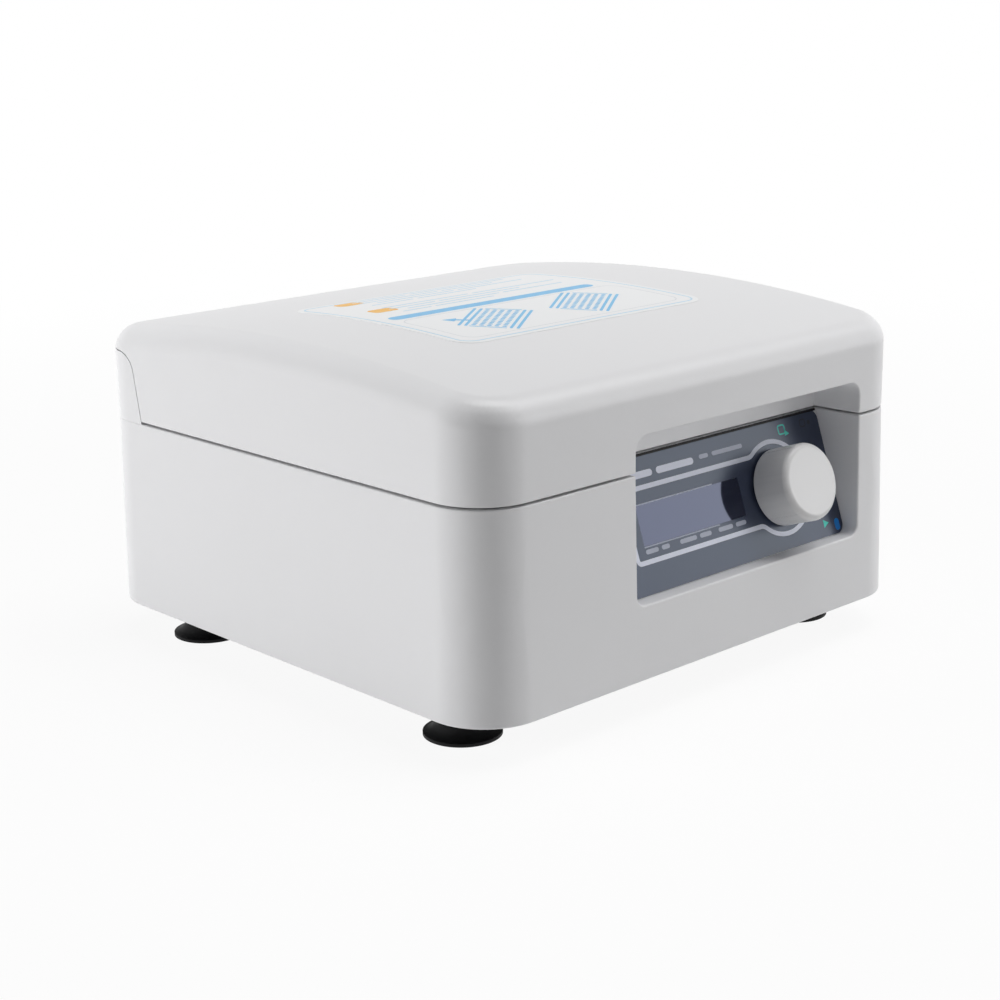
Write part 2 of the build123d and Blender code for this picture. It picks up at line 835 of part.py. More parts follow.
def lid_shell():
    block = upper_block(0)
    block &= prism(outline(wall), lid_rim, 2 * roof_crown)
    block = fillet(block.faces().sort_by(Axis.Z)[0].edges(), seam_round)
    shell = block - upper_block(wall)
    shell += cover_region(cover_gap + wall) & block
    shell += lid_notch(wall) & block
    liner_top = liner_under + liner_thickness
    for x, y in lid_boss_places():
        shell += rod(x, y, lid_boss_radius, liner_top, roof_crown) & block
    for x, y in hinge_screw_places():
        shell += rod(x, y, hinge_screw_boss, cover_top, roof_crown) & block
    shell -= lid_notch(0)
    shell = round_mouth(shell, lid_rim + seam_round + seam_break, recess_top + mouth_round)
    shell -= cover_region(cover_gap)
    for x, y in lid_boss_places():
        shell -= rod(x, y, screw_radius + thread_fit, liner_under, liner_top + screw_length)
    for x, y in hinge_screw_places():
        shell -= rod(x, y, screw_radius + thread_fit, cover_top, cover_top + hinge_screw_depth)
    return shell


def lid_liner():
    """Moulded inner tray of the lid: a flange inside the rim and a well over the chamber."""
    flange = outline(-wall - 2 * static_fit)
    plate = prism(flange, liner_under, liner_under + liner_thickness)
    plate -= lid_notch(wall + 2 * static_fit)
    back = cover_front_y - cover_gap - 2 * wall
    behind = Pos(0, back + half_depth) * Rectangle(case_width, case_depth)
    plate -= prism(behind, liner_under, lid_rim + wall)
    well = Pos(0, chamber_y) * RectangleRounded(well_width, well_depth, tray_corner)
    hollow = Pos(0, chamber_y) * RectangleRounded(
        well_width - 2 * liner_thickness,
        well_depth - 2 * liner_thickness,
        tray_corner - liner_thickness,
    )
    liner = plate + prism(well, liner_under, well_ceiling + liner_thickness)
    liner -= prism(hollow, liner_under, well_ceiling)
    for x, y in lid_boss_places():
        liner -= rod(x, y, screw_radius + static_fit, liner_under, liner_under + liner_thickness)
    return liner


def lid_screws():
    return Compound([screw(x, y, liner_under, screw_length) for x, y in lid_boss_places()])


def lid_heater_plate():
    """Heated aluminium ceiling plate inside the liner's well."""
    inset = 2 * (liner_thickness + lid_plate_margin / 2)
    plate = Pos(0, chamber_y) * RectangleRounded(
        well_width - inset, well_depth - inset, tray_corner - liner_thickness - lid_plate_margin / 4)
    made = prism(plate, well_ceiling - lid_plate_thickness, well_ceiling)
    return chamfer(made.faces().sort_by(Axis.Z)[0].edges(), block_break)


def lid_insulation():
    pad = Pos(0, chamber_y) * RectangleRounded(
        well_width - 2 * lid_plate_margin, well_depth - 2 * lid_plate_margin, tray_corner)
    low = well_ceiling + liner_thickness
    return prism(pad, low, low + insulation_thickness)


def lid_gasket():
    """Silicone ring that closes on the tray's flange."""
    outer = Pos(0, chamber_y) * RectangleRounded(
        tray_width + 2 * gasket_width, tray_depth + 2 * gasket_width, tray_corner + gasket_width)
    inner = Pos(0, chamber_y) * RectangleRounded(tray_width, tray_depth, tray_corner)
    ring = prism(outer - inner, deck_top + tray_wall + seat_gap, liner_under)
    return fillet(ring.faces().sort_by(Axis.Z)[0].edges(), gasket_round)


def hinge_arm(side):
    """Barrel round the pin, with a plate screwed up under the lid's skin."""
    x = side * hinge_x
    top = cover_top + cover_gap
    reach = hinge_plate_length
    under = top - hinge_plate_thickness
    barrel = Pos(hinge_y, hinge_z) * Circle(hinge_barrel_radius)
    seat = Line((hinge_y - hinge_barrel_radius / 2, top), (hinge_y, top))
    gusset = make_hull([*barrel.edges(), seat.edge()])
    plate = Pos(hinge_y - reach / 2, (under + top) / 2) * Rectangle(reach, top - under)
    arm = along_x(gusset + plate, x - hinge_arm_width / 2, x + hinge_arm_width / 2)
    bore = Pos(hinge_y, hinge_z) * Circle(hinge_pin_radius + running_fit)
    arm -= along_x(bore, x - hinge_arm_width, x + hinge_arm_width)
    for sx, sy in hinge_screw_places():
        arm -= rod(sx, sy, screw_radius + static_fit, under - seat_gap, top)
    return arm


def hinge_arm_screws():
    under = cover_top + cover_gap - hinge_plate_thickness
    length = hinge_plate_thickness + hinge_screw_depth - hinge_screw_tip
    return Compound([screw(x, y, under, length) for x, y in hinge_screw_places()])


def hinge_pins():
    reach = hinge_arm_width / 2 + hinge_side_gap + cover_wall
    pin = Pos(hinge_y, hinge_z) * Circle(hinge_pin_radius)
    return Compound([along_x(pin, s * hinge_x - reach, s * hinge_x + reach) for s in sides])


# ---------- orbital drive ----------


def idler_places():
    return [(x * idler_x, chamber_y + y * idler_y) for x, y in corners]


def drive_frame():
    """Cast frame on four legs: bearing boss under its middle, idler posts and the motor mount."""
    plan = Pos(0, chamber_y) * RectangleRounded(frame_width, frame_depth, frame_corner)
    plan += Pos(0, motor_y) * RectangleRounded(
        2 * (motor_radius + motor_margin), 2 * (motor_radius + motor_margin), frame_corner)
    frame = prism(plan, frame_height, frame_top)
    window = RectangleRounded(frame_width / 5, frame_depth / 3.4, frame_window_corner)
    for x in sides:
        frame -= prism(Pos(x * frame_width / 4, chamber_y) * window, frame_height, frame_top)
    for x, y in leg_places():
        frame += rod(x, y, leg_radius, plate_top, frame_height)
        frame -= rod(x, y, screw_radius + thread_fit, plate_top, plate_top + screw_length)
    for x, y in idler_places():
        frame += rod(x, y, idler_bearing_radius + idler_post_wall, frame_top, idler_bearing_top)
        frame -= rod(x, y, idler_bearing_radius, idler_bearing_low, idler_bearing_top)
        frame -= rod(x, y, idler_bearing_radius - bearing_lip, frame_height, idler_bearing_top)
    frame += rod(0, chamber_y, boss_radius, boss_under, frame_height)
    for a in range(4):
        web = Polygon(
            (main_bearing_radius, 0), (boss_radius + rib_reach, 0),
            (main_bearing_radius, boss_under - frame_height), align=None)
        rib = along_y(web, -rib_thickness / 2, rib_thickness / 2)
        frame += Pos(0, chamber_y, frame_height) * Rot(0, 0, 45 + 90 * a) * rib
    for low in (boss_under, frame_top - main_bearing_height):
        frame -= rod(0, chamber_y, main_bearing_radius, low, low + main_bearing_height)
    frame -= rod(0, chamber_y, main_bearing_radius - 2 * bearing_lip, boss_under, frame_top)
    frame -= rod(0, motor_y, motor_pulley_radius + belt_thickness, frame_height, frame_top)
    return frame


def frame_screws():
    return Compound([screw(x, y, plate_under, screw_length) for x, y in leg_places()])


def main_bearings():
    return Compound([
        bearing(0, chamber_y, main_bearing_bore, main_bearing_radius, main_bearing_height, low)
        for low in (boss_under, frame_top - main_bearing_height)
    ])


def small_bearings(places, low):
    return Compound([
        bearing(x, y, idler_bearing_bore, idler_bearing_radius, idler_bearing_height, low)
        for x, y in places
    ])


def idler_bearings():
    return small_bearings(idler_places(), idler_bearing_low)


def crank_shaft():
    """Main shaft with the eccentric pin that carries the platform."""
    shaft = rod(0, chamber_y, main_bearing_bore, boss_under - shaft_stub, pin_shoulder)
    shaft = chamfer(shaft.faces().sort_by(Axis.Z)[0].edges(), shaft_break)
    pin_top = carrier_top - seat_gap
    return shaft + rod(orbit_radius, chamber_y, pin_bearing_bore, counterweight_under, pin_top)


def counterweight():
    """Heavy disc under the pin, lightened on the pin's side so that it balances the platform."""
    disc = Circle(counterweight_radius) - Circle(main_bearing_bore)
    ring = Circle(counterweight_radius - counterweight_rim) - Circle(counterweight_hub)
    half = Pos(counterweight_radius / 2 + counterweight_spoke / 2, 0) * Rectangle(
        counterweight_radius, 2 * counterweight_radius)
    spoke = Rectangle(2 * counterweight_radius, counterweight_spoke)
    for turn in (0, 60, -60):
        half -= Rot(0, 0, turn) * spoke
    disc -= ring & half
    return Pos(0, chamber_y, counterweight_under) * extrude(disc, counterweight_height)


def toothed_pulley(teeth, radius, bore, x, y):
    """Timing pulley: round belt grooves between two flanges."""
    wheel = Circle(radius)
    for i in range(teeth):
        wheel -= Rot(0, 0, 360 * i / teeth) * Pos(radius, 0) * RegularPolygon(belt_groove, 6)
    body = extrude(wheel, pulley_height)
    for low in (0, pulley_height - flange_height):
        body += Pos(0, 0, low) * extrude(Circle(radius + belt_thickness + flange_width), flange_height)
    return Pos(x, y, pulley_under) * (body - extrude(Circle(bore), pulley_height))


def crank_pulley():
    return toothed_pulley(pulley_teeth, pulley_radius, main_bearing_bore, 0, chamber_y)


def motor_pulley():
    return toothed_pulley(motor_teeth, motor_pulley_radius, motor_shaft_radius, 0, motor_y)


def belt_loop(grow):
    large = Pos(0, chamber_y) * Circle(pulley_radius + grow)
    small = Pos(0, motor_y) * Circle(motor_pulley_radius + grow)
    return make_hull([*large.edges(), *small.edges()])


def drive_belt():
    low = pulley_under + flange_height + belt_slack
    return prism(belt_loop(belt_slack + belt_thickness) - belt_loop(belt_slack), low, low + belt_width)


def motor_body():
    """Flat brushless motor hung under the frame: finned can, mounting face and connector."""
    low = frame_height - motor_height
    can = rod(0, motor_y, motor_radius, low, frame_height)
    can = chamfer(can.faces().sort_by(Axis.Z)[0].edges(), motor_groove)
    groove = Circle(motor_radius + overcut) - Circle(motor_radius - motor_groove_depth)
    for i in range(4):
        can -= Pos(0, motor_y, low + (i + 1.5) * motor_groove_pitch) * extrude(groove, motor_groove)
    socket = Box(motor_radius * 2 / 3, motor_margin, motor_margin)
    can += Pos(0, motor_y + motor_radius, low + motor_margin) * socket
    return can - rod(0, motor_y, motor_shaft_radius + running_fit, low + wall, frame_height)


def motor_shaft():
    low = frame_height - motor_height + wall + seat_gap
    return rod(0, motor_y, motor_shaft_radius, low, pulley_under + pulley_height)


def idler_crank(place):
    """A small crank with the main crank's throw, so that the platform can't turn."""
    x, y = place
    web_top = idler_web_under + idler_web_height
    web_middle = idler_web_under + idler_web_height / 2
    web = rod(x + orbit_radius / 2, y, idler_web_radius, idler_web_under, web_top)
    low = rod(x, y, idler_bearing_bore, idler_bearing_low - bearing_lip, web_middle)
    high = rod(x + orbit_radius, y, idler_bearing_bore, idler_web_under, carrier_top - seat_gap)
    return web + low + high


# ---------- platform ----------


def platform_plan(inset=0.0):
    return Pos(orbit_radius, chamber_y) * RectangleRounded(
        platform_width - 2 * inset, platform_depth - 2 * inset, platform_corner)


def platform_hubs():
    """Bearing seats under the platform: the crank's in the middle and one over each idler."""
    yield orbit_radius, chamber_y, pin_bearing_radius, pin_bearing_height
    for x, y in idler_places():
        yield x + orbit_radius, y, idler_bearing_radius, idler_bearing_height


def platform_screw_places():
    reach_x = platform_width / 2 - platform_screw_inset_x
    reach_y = platform_depth / 2 - platform_screw_inset_y
    return [(orbit_radius + x * reach_x, chamber_y + y * reach_y) for x, y in corners]


def carrier_plate():
    """Platform's lower plate, with turned bearing hubs and cut-outs between them."""
    plate = prism(platform_plan(carrier_inset), carrier_top - carrier_thickness, carrier_top)
    gap = RectangleRounded(platform_width / 5, platform_depth / 2.6, frame_window_corner)
    for x in sides:
        place = Pos(orbit_radius + x * platform_width / 5, chamber_y)
        plate -= prism(place * gap, hub_under, carrier_top)
    for x, y, radius, height in platform_hubs():
        plate += rod(x, y, radius + hub_wall, hub_under, carrier_top)
    for x, y, radius, height in platform_hubs():
        plate -= rod(x, y, radius, carrier_top - height, carrier_top)
        plate -= rod(x, y, radius - bearing_lip, hub_under, carrier_top)
    for x, y in platform_screw_places():
        plate -= rod(x, y, screw_radius + static_fit, hub_under, carrier_top)
    return plate


def pin_bearing():
    x, y, radius, height = next(platform_hubs())
    return bearing(x, y, pin_bearing_bore, radius, height, carrier_top - height)


def idler_pin_bearings():
    places = [(x + orbit_radius, y) for x, y in idler_places()]
    return small_bearings(places, carrier_top - idler_bearing_height)


def pierced(layer, low, high):
    for x, y in platform_screw_places():
        layer -= rod(x, y, screw_radius + static_fit, low, high)
    return layer


def insulation_pad():
    return pierced(prism(platform_plan(carrier_inset), carrier_top, pad_top), carrier_top, pad_top)


def platform_heater():
    return pierced(prism(platform_plan(heater_inset), pad_top, heater_top), pad_top, heater_top)


def platform_block():
    """Aluminium heat block, with a raised land for each microplate."""
    block = prism(platform_plan(), heater_top, block_top)
    block = chamfer(block.faces().sort_by(Axis.Z)[-1].edges(), block_break)
    for x, y in plate_places():
        land = RectangleRounded(nest_width - 2 * seat_inset, nest_length - 2 * seat_inset, nest_corner)
        block += prism(Pos(x, y) * land, heater_top, block_top + seat_rise)
    for x, y in platform_screw_places():
        block -= rod(x, y, screw_radius + thread_fit, heater_top, block_top - block_thickness / 4)
    return block


def platform_screws():
    low = carrier_top - carrier_thickness
    length = block_top - block_thickness / 4 - seat_gap - low
    return Compound([screw(x, y, low, length) for x, y in platform_screw_places()])


def plate_places():
    return [(orbit_radius + x * nest_offset, chamber_y) for x in sides]


def clamp_place(x):
    """Front wall of a nest window, where the clamp's pad comes out."""
    return x, chamber_y - nest_length / 2


def nest_frame():
    """Frame with a window and four corner posts for each microplate."""
    frame = prism(platform_plan(), block_top, nest_top)
    frame = fillet(frame.faces().sort_by(Axis.Z)[-1].edges(), block_break)
    for x, y in plate_places():
        for sx, sy in corners:
            reach_x = (nest_width - post_size) / 2 + post_stand
            reach_y = (nest_length - post_size) / 2 + post_stand
            post = RectangleRounded(post_size, post_size, post_size / 6)
            post = Pos(x + sx * reach_x, y + sy * reach_y) * post
            made = prism(post, block_top, nest_top + post_height)
            frame += chamfer(made.faces().sort_by(Axis.Z)[-1].edges(), post_size / 8)
    for x, y in plate_places():
        hole = Pos(x, y) * RectangleRounded(nest_width, nest_length, nest_corner)
        frame -= prism(hole, block_top, nest_top + 2 * post_height)
        cx, cy = clamp_place(x)
        top = block_top + clamp_height + clamp_slack
        back = cy - clamp_shelf - clamp_depth - clamp_travel - clamp_slack
        slot = Pos(cx, (cy - clamp_shelf + back) / 2) * Rectangle(
            clamp_width + 2 * clamp_slack, cy - clamp_shelf - back)
        mouth = Pos(cx, cy - clamp_shelf) * Rectangle(clamp_finger + 2 * clamp_slack, 4 * clamp_shelf)
        frame -= prism(slot + mouth, block_top, top)
    return frame


def plate_clamp(place):
    """Sprung pad that holds a microplate against the back of its window."""
    cx, cy = clamp_place(place[0])
    front = cy - clamp_shelf - clamp_slack
    foot = Pos(cx, front - clamp_depth / 2) * Rectangle(clamp_width, clamp_depth)
    pad = Pos(cx, (front + cy + clamp_reach) / 2) * Rectangle(clamp_finger, cy + clamp_reach - front)
    pad = fillet(pad.vertices().sort_by(Axis.Y)[-2:], clamp_reach / 2)
    low = block_top + running_fit
    return prism(foot + pad, low, low + clamp_height)


# ---------- electrics ----------


def mains_inlet():
    """Appliance inlet: flange, body through the wall and the socket with its two cut corners."""
    flange = RectangleRounded(inlet_flange, inlet_flange_height, inlet_flange_corner)
    face = rear_plane + inlet_flange_thickness
    z = rear_panel_z
    body = along_y(Pos(inlet_x, z) * flange, rear_plane, face)
    body += along_y(Pos(inlet_x, z) * Rectangle(inlet_width, inlet_height), face - inlet_depth, face)
    mouth = chamfer(Rectangle(socket_width, socket_height).vertices().sort_by(Axis.Y)[-2:], socket_cut)
    body -= along_y(Pos(inlet_x, z) * mouth, face - socket_depth, face)
    for x in sides:
        hole = Pos(inlet_x + x * inlet_hole_pitch / 2, z) * Circle(inlet_hole_radius)
        body -= along_y(hole, rear_plane, face)
    return body


def inlet_blades():
    face = rear_plane + inlet_flange_thickness
    low = face - socket_depth
    blade = Rectangle(blade_width, blade_height)
    return Compound([
        along_y(Pos(inlet_x + x, rear_panel_z + z) * blade, low, low + blade_length)
        for x, z in blade_places
    ])


def rocker_pivot_y():
    return rear_plane - rocker_depth


def switch_body():
    place = Pos(switch_x, rear_panel_z)
    inner = switch_width - switch_lip - 2 * static_fit
    face = rear_plane + switch_flange
    flange = Rectangle(switch_width + 2 * switch_lip, switch_height + 2 * switch_lip)
    case = Rectangle(inner, switch_height - switch_lip - 2 * static_fit)
    room = Rectangle(inner - 2 * switch_wall, 2 * (rocker_radius + rocker_gap))
    back = rear_plane - switch_depth
    body = along_y(place * flange, rear_plane, face) + along_y(place * case, back, face)
    body -= along_y(place * room, back + switch_flange, face)
    pivot = Pos(rocker_pivot_y(), rear_panel_z) * Circle(rocker_pivot_radius + thread_fit)
    reach = (inner - switch_wall) / 2
    return body - along_x(pivot, switch_x - reach, switch_x + reach)


def power_rocker():
    """Rocker with two flats that meet at a shallow angle, resting on its lower, off, side."""
    inner = switch_width - switch_lip - 2 * static_fit
    width = inner - 2 * switch_wall - 2 * rocker_gap
    end = math.sqrt(rocker_radius ** 2 - rocker_lift ** 2)
    valley = rocker_lift - end * math.tan(math.radians(rocker_angle))
    back = -rocker_back
    shape = Polygon(
        (valley, 0), (rocker_lift, end), (back, end), (back, -end), (rocker_lift, -end), align=None)
    shape &= Circle(rocker_radius)
    body = along_x(shape, -width / 2, width / 2)
    reach = (inner - switch_wall) / 2 - static_fit
    body += along_x(Circle(rocker_pivot_radius), -reach, reach)
    return Pos(switch_x, rocker_pivot_y(), rear_panel_z) * Rot(-rocker_angle, 0, 0) * body


def boards():
    return (
        (supply_x, supply_y, supply_width, supply_depth),
        (control_x, control_y, control_width, control_depth),
    )


def circuit_board(place, components):
    """A board on the bottom plate's standoffs, with its larger components as blocks."""
    cx, cy, width, depth = place
    top = board_under + board_thickness
    board = prism(Pos(cx, cy) * Rectangle(width, depth), board_under, top)
    for x, y, wide, deep, tall in components:
        board += prism(Pos(cx + x, cy + y) * Rectangle(wide, deep), board_under, top + tall)
    return board


def supply_board():
    """Mains supply: transformer, two smoothing capacitors and a finned heat sink on one board."""
    fins = [(x, y, *fin_size) for x, y in fin_places]
    board = circuit_board(boards()[0], (*supply_components, *fins))
    for x, y in capacitor_places:
        top = board_under + board_thickness + capacitor_height
        board += rod(supply_x + x, supply_y + y, capacitor_radius, board_under, top)
    return board


def control_board():
    plugs = [(x, y, *plug_size) for x, y in plug_places]
    return circuit_board(boards()[1], (*control_components, *plugs))


def build():
    parts = {
        "base_shell": base_shell(),
        "rear_cover": rear_cover(),
        "cover_screws": cover_screws(),
        "bottom_plate": bottom_plate(),
        "bottom_screws": bottom_screws(),
        "foot_screws": foot_screws(),
        "chamber_tray": chamber_tray(),
        "panel_overlay": panel_overlay(),
        "display_window": display_window(),
        "display_module": display_module(),
        "front_board": front_board(),
        "encoder_body": encoder_body(),
        "encoder_rotor": encoder_rotor(),
        "encoder_shaft": encoder_shaft(),
        "knob": knob(),
        "lid_shell": lid_shell(),
        "lid_liner": lid_liner(),
        "lid_screws": lid_screws(),
        "lid_heater_plate": lid_heater_plate(),
        "lid_insulation": lid_insulation(),
        "lid_gasket": lid_gasket(),
        "hinge_arm_left": hinge_arm(-1),
        "hinge_arm_right": hinge_arm(1),
        "hinge_arm_screws": hinge_arm_screws(),
        "hinge_pins": hinge_pins(),
        "drive_frame": drive_frame(),
        "frame_screws": frame_screws(),
        "main_bearings": main_bearings(),
        "idler_bearings": idler_bearings(),
        "crank_shaft": crank_shaft(),
        "counterweight": counterweight(),
        "crank_pulley": crank_pulley(),
        "motor_pulley": motor_pulley(),
        "drive_belt": drive_belt(),
        "motor_body": motor_body(),
        "motor_shaft": motor_shaft(),
        "carrier_plate": carrier_plate(),
        "pin_bearing": pin_bearing(),
        "idler_pin_bearings": idler_pin_bearings(),
        "insulation_pad": insulation_pad(),
        "platform_heater": platform_heater(),
        "platform_block": platform_block(),
        "platform_screws": platform_screws(),
        "nest_frame": nest_frame(),
        "mains_inlet": mains_inlet(),
        "inlet_blades": inlet_blades(),
        "switch_body": switch_body(),
        "power_rocker": power_rocker(),
        "supply_board": supply_board(),
        "control_board": control_board(),
    }
    for name, place in zip(("left", "right"), plate_places()):
        parts["plate_clamp_" + name] = plate_clamp(place)
    for name, place in zip(("front_left", "rear_left", "front_right", "rear_right"), foot_places()):
        parts["foot_" + name] = suction_foot(*place)
    for name, place in zip(("front_left", "rear_left", "front_right", "rear_right"), idler_places()):
        parts["idler_" + name] = idler_crank(place)
    return parts


os.makedirs("parts", exist_ok=True)
for node, shape in build().items():
    export_step(shape, f"parts/{node}.step")
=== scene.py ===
import json
import math

import bmesh
import bpy
import numpy as np
from mathutils import Matrix, Vector

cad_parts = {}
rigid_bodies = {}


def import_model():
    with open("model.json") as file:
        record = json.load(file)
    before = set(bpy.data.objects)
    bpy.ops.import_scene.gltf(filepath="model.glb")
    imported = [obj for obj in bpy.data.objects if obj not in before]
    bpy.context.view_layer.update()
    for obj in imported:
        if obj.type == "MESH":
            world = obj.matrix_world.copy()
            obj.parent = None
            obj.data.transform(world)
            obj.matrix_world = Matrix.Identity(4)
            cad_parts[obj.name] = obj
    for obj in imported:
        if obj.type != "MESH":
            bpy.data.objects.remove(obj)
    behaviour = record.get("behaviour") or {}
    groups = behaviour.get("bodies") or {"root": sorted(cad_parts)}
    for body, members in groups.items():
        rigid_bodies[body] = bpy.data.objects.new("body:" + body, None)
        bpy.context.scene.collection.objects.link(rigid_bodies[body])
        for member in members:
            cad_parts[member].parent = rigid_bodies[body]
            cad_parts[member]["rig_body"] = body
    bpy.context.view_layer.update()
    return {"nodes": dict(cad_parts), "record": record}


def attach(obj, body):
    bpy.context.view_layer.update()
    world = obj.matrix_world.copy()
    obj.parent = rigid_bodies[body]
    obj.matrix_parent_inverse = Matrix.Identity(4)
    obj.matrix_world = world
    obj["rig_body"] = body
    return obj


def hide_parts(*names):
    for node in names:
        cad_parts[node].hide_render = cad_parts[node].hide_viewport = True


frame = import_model()

mm = 0.001
nodeSlot = {part["node"]: part["material_slot"] for part in frame["record"]["subparts"]}


# shader maths written as expressions: every operator adds one Math node


class Sock:
    def __init__(self, paint, out):
        self.paint, self.out = paint, out

    def maths(self, operation, *values):
        return self.paint.node("ShaderNodeMath", {"operation": operation}, *values)

    def __add__(self, other):
        return self.maths("ADD", self, other)

    def __sub__(self, other):
        return self.maths("SUBTRACT", self, other)

    def __rsub__(self, other):
        return self.maths("SUBTRACT", other, self)

    def __mul__(self, other):
        return self.maths("MULTIPLY", self, other)

    def __truediv__(self, other):
        return self.maths("DIVIDE", self, other)

    def __pow__(self, other):
        return self.maths("POWER", self, other)

    def __gt__(self, other):
        return self.maths("GREATER_THAN", self, other)

    def __abs__(self):
        return self.maths("ABSOLUTE", self)

    __radd__ = __add__
    __rmul__ = __mul__


class Paint:
    # one material or world; node() adds any node, the rest are short ways to the common ones
    def __init__(self, name, holder=None):
        self.holder = holder or bpy.data.materials.new(name)
        self.holder.use_nodes = True
        self.tree = self.holder.node_tree
        self.tree.nodes.clear()
        self.output = self.tree.nodes.new("ShaderNodeOutputWorld" if holder else "ShaderNodeOutputMaterial")

    def node(self, kind, settings=None, *values, out=0, **named):
        made = self.tree.nodes.new(kind)
        for key, value in (settings or {}).items():
            setattr(made, key, value)
        for key, value in list(enumerate(values)) + [(k.replace("_", " "), v) for k, v in named.items()]:
            if isinstance(value, Sock):
                self.tree.links.new(value.out, made.inputs[key])
            elif value is not None:
                made.inputs[key].default_value = value
        return Sock(self, made.outputs[out])

    def place(self):
        return self.node("ShaderNodeTexCoord", out="Object")

    def split(self, vector):
        parts = self.node("ShaderNodeSeparateXYZ", None, vector)
        return [Sock(self, parts.out.node.outputs[i]) for i in range(3)]

    def noise(self, scale, detail=2.0, roughness=0.5, where=None, stretch=None):
        where = where or self.place()
        if stretch:
            where = self.node("ShaderNodeVectorMath", {"operation": "MULTIPLY"}, where, stretch)
        return self.node("ShaderNodeTexNoise", Vector=where, Scale=scale, Detail=detail, Roughness=roughness)

    def blend(self, factor, low, high):
        made = self.tree.nodes.new("ShaderNodeMix")
        made.data_type = "RGBA"
        for index, value in ((0, factor), (6, low), (7, high)):
            if isinstance(value, Sock):
                self.tree.links.new(value.out, made.inputs[index])
            else:
                made.inputs[index].default_value = value if index == 0 else (*value[:3], 1.0)
        return Sock(self, made.outputs[2])

    def tones(self, factor, colour, dark, light):
        return self.blend(factor, shade(colour, dark), shade(colour, light))

    def bump(self, height, strength, distance, under=None):
        return self.node("ShaderNodeBump", Strength=strength, Distance=distance, Height=height, Normal=under)

    def surface(self, shader):
        self.tree.links.new(shader.out, self.output.inputs["Surface"])
        return self.holder

    def done(self, **sockets):
        return self.surface(self.node("ShaderNodeBsdfPrincipled", **sockets))


def shade(colour, factor):
    # the same colour, darker below a factor of one and lighter above it
    return tuple(channel * factor for channel in colour)


# finishes: each function builds one kind of surface; its Looks dictionary says what each use of it looks like, and its
# Texture what all of them share: noise scales are per metre, depths of the bump in metres, and each Gloss number is
# how much a pattern changes the roughness


plasticLooks = {
    "case_plastic": {"colour": (0.80, 0.80, 0.812), "roughness": 0.36, "grain": 0.10, "mottle": 0.012},
    "inner_plastic": {"colour": (0.74, 0.74, 0.735), "roughness": 0.44, "grain": 0.16, "mottle": 0.02},
    "hinge_black": {"colour": (0.035, 0.035, 0.038), "roughness": 0.46, "grain": 0.25, "mottle": 0.10},
    "black_plastic": {"colour": (0.018, 0.018, 0.020), "roughness": 0.38, "grain": 0.20, "mottle": 0.10},
}
plasticTexture = {
    "slow": 9.0, "fine": 2400.0, "slowGloss": 0.05, "fineGloss": 0.12, "grainDepth": 6e-5,
    "sink": 26.0, "sinkStrength": 0.03, "sinkDepth": 0.002, "ior": 1.46,
}


def mouldedPlastic(name, look):
    # spark-eroded grain in the bump over a slow sinking of the walls, and a slow mottling of the colour
    paint, texture = Paint(name), plasticTexture
    slow = paint.noise(texture["slow"], 3.0)
    fine = paint.noise(texture["fine"], 2.0, 0.6)
    tone = paint.tones(slow, look["colour"], 1 - look["mottle"], 1 + look["mottle"])
    gloss = look["roughness"] + (fine - 0.5) * texture["fineGloss"] + (slow - 0.5) * texture["slowGloss"]
    sunk = paint.bump(paint.noise(texture["sink"], 1.0), texture["sinkStrength"], texture["sinkDepth"])
    normal = paint.bump(fine, look["grain"], texture["grainDepth"], sunk)
    return paint.done(Base_Color=tone, Roughness=gloss, Normal=normal, IOR=texture["ior"])


knobLook = {
    # sheenStreak: how far the painted highlight streaks lighten and darken the knob's colour
    "colour": (0.72, 0.72, 0.725), "roughness": 0.30, "grain": 0.05, "sheenStreak": 0.10,
    "axis": (62.2 * mm, -117.195 * mm, 76.637 * mm), "turn": (math.radians(71.12), 0.0, 0.0),
    "faceRadius": 17.0 * mm, "blur": 0.1, "fade": 6.0, "streaks": 5.0, "streakGloss": 0.2,
    "fine": 2600.0, "fineGloss": 0.08, "grainDepth": 6e-5, "ior": 1.48,
}


def knobPlastic():
    # satin moulding; faint streaks run along the knob: noise read on the unit circle round its axis, and fading
    # inside the face's radius with a power of the squared distance from that axis. In the colour the streaks are
    # painted highlights and reflections on the side; in the roughness they are real gloss streaks
    paint, look = Paint("knobPlastic"), knobLook
    local = paint.node("ShaderNodeMapping", {"vector_type": "TEXTURE"}, paint.place(), look["axis"], look["turn"])
    x, y = paint.split(local)[:2]
    around = paint.node("ShaderNodeCombineXYZ", None, x, y, 0.0)
    around = paint.node("ShaderNodeVectorMath", {"operation": "NORMALIZE"}, around)
    side = paint.node("ShaderNodeMath", {"operation": "SMOOTH_MIN"}, (x * x + y * y) / look["faceRadius"] ** 2, 1.0,
                      look["blur"])
    sheenStreak = (paint.noise(look["streaks"], 3.0, 0.6, where=around) - 0.5) * (side ** look["fade"])
    fine = paint.noise(look["fine"], 2.0, 0.6)
    # painted highlights and reflections: the streaks lighten and darken the side's colour
    tone = paint.tones(sheenStreak + 0.5, look["colour"], 1 - look["sheenStreak"], 1 + look["sheenStreak"])
    gloss = look["roughness"] + sheenStreak * look["streakGloss"] + (fine - 0.5) * look["fineGloss"]
    normal = paint.bump(fine, look["grain"], look["grainDepth"])
    return paint.done(Base_Color=tone, Roughness=gloss, Normal=normal, IOR=look["ior"])


rubberLooks = {
    "foot_rubber": {"colour": (0.0035, 0.0035, 0.004), "roughness": 0.55, "ior": 1.28},
    "belt_rubber": {"colour": (0.016, 0.016, 0.016), "roughness": 0.55, "ior": 1.5},
    "heater_silicone": {"colour": (0.42, 0.10, 0.03), "roughness": 0.42, "ior": 1.42},
}
rubberTexture = {"bloom": 180.0, "dark": 0.8, "light": 1.5, "bloomGloss": 0.2, "mould": 1500.0,
                 "strength": 0.12, "depth": 8e-5}


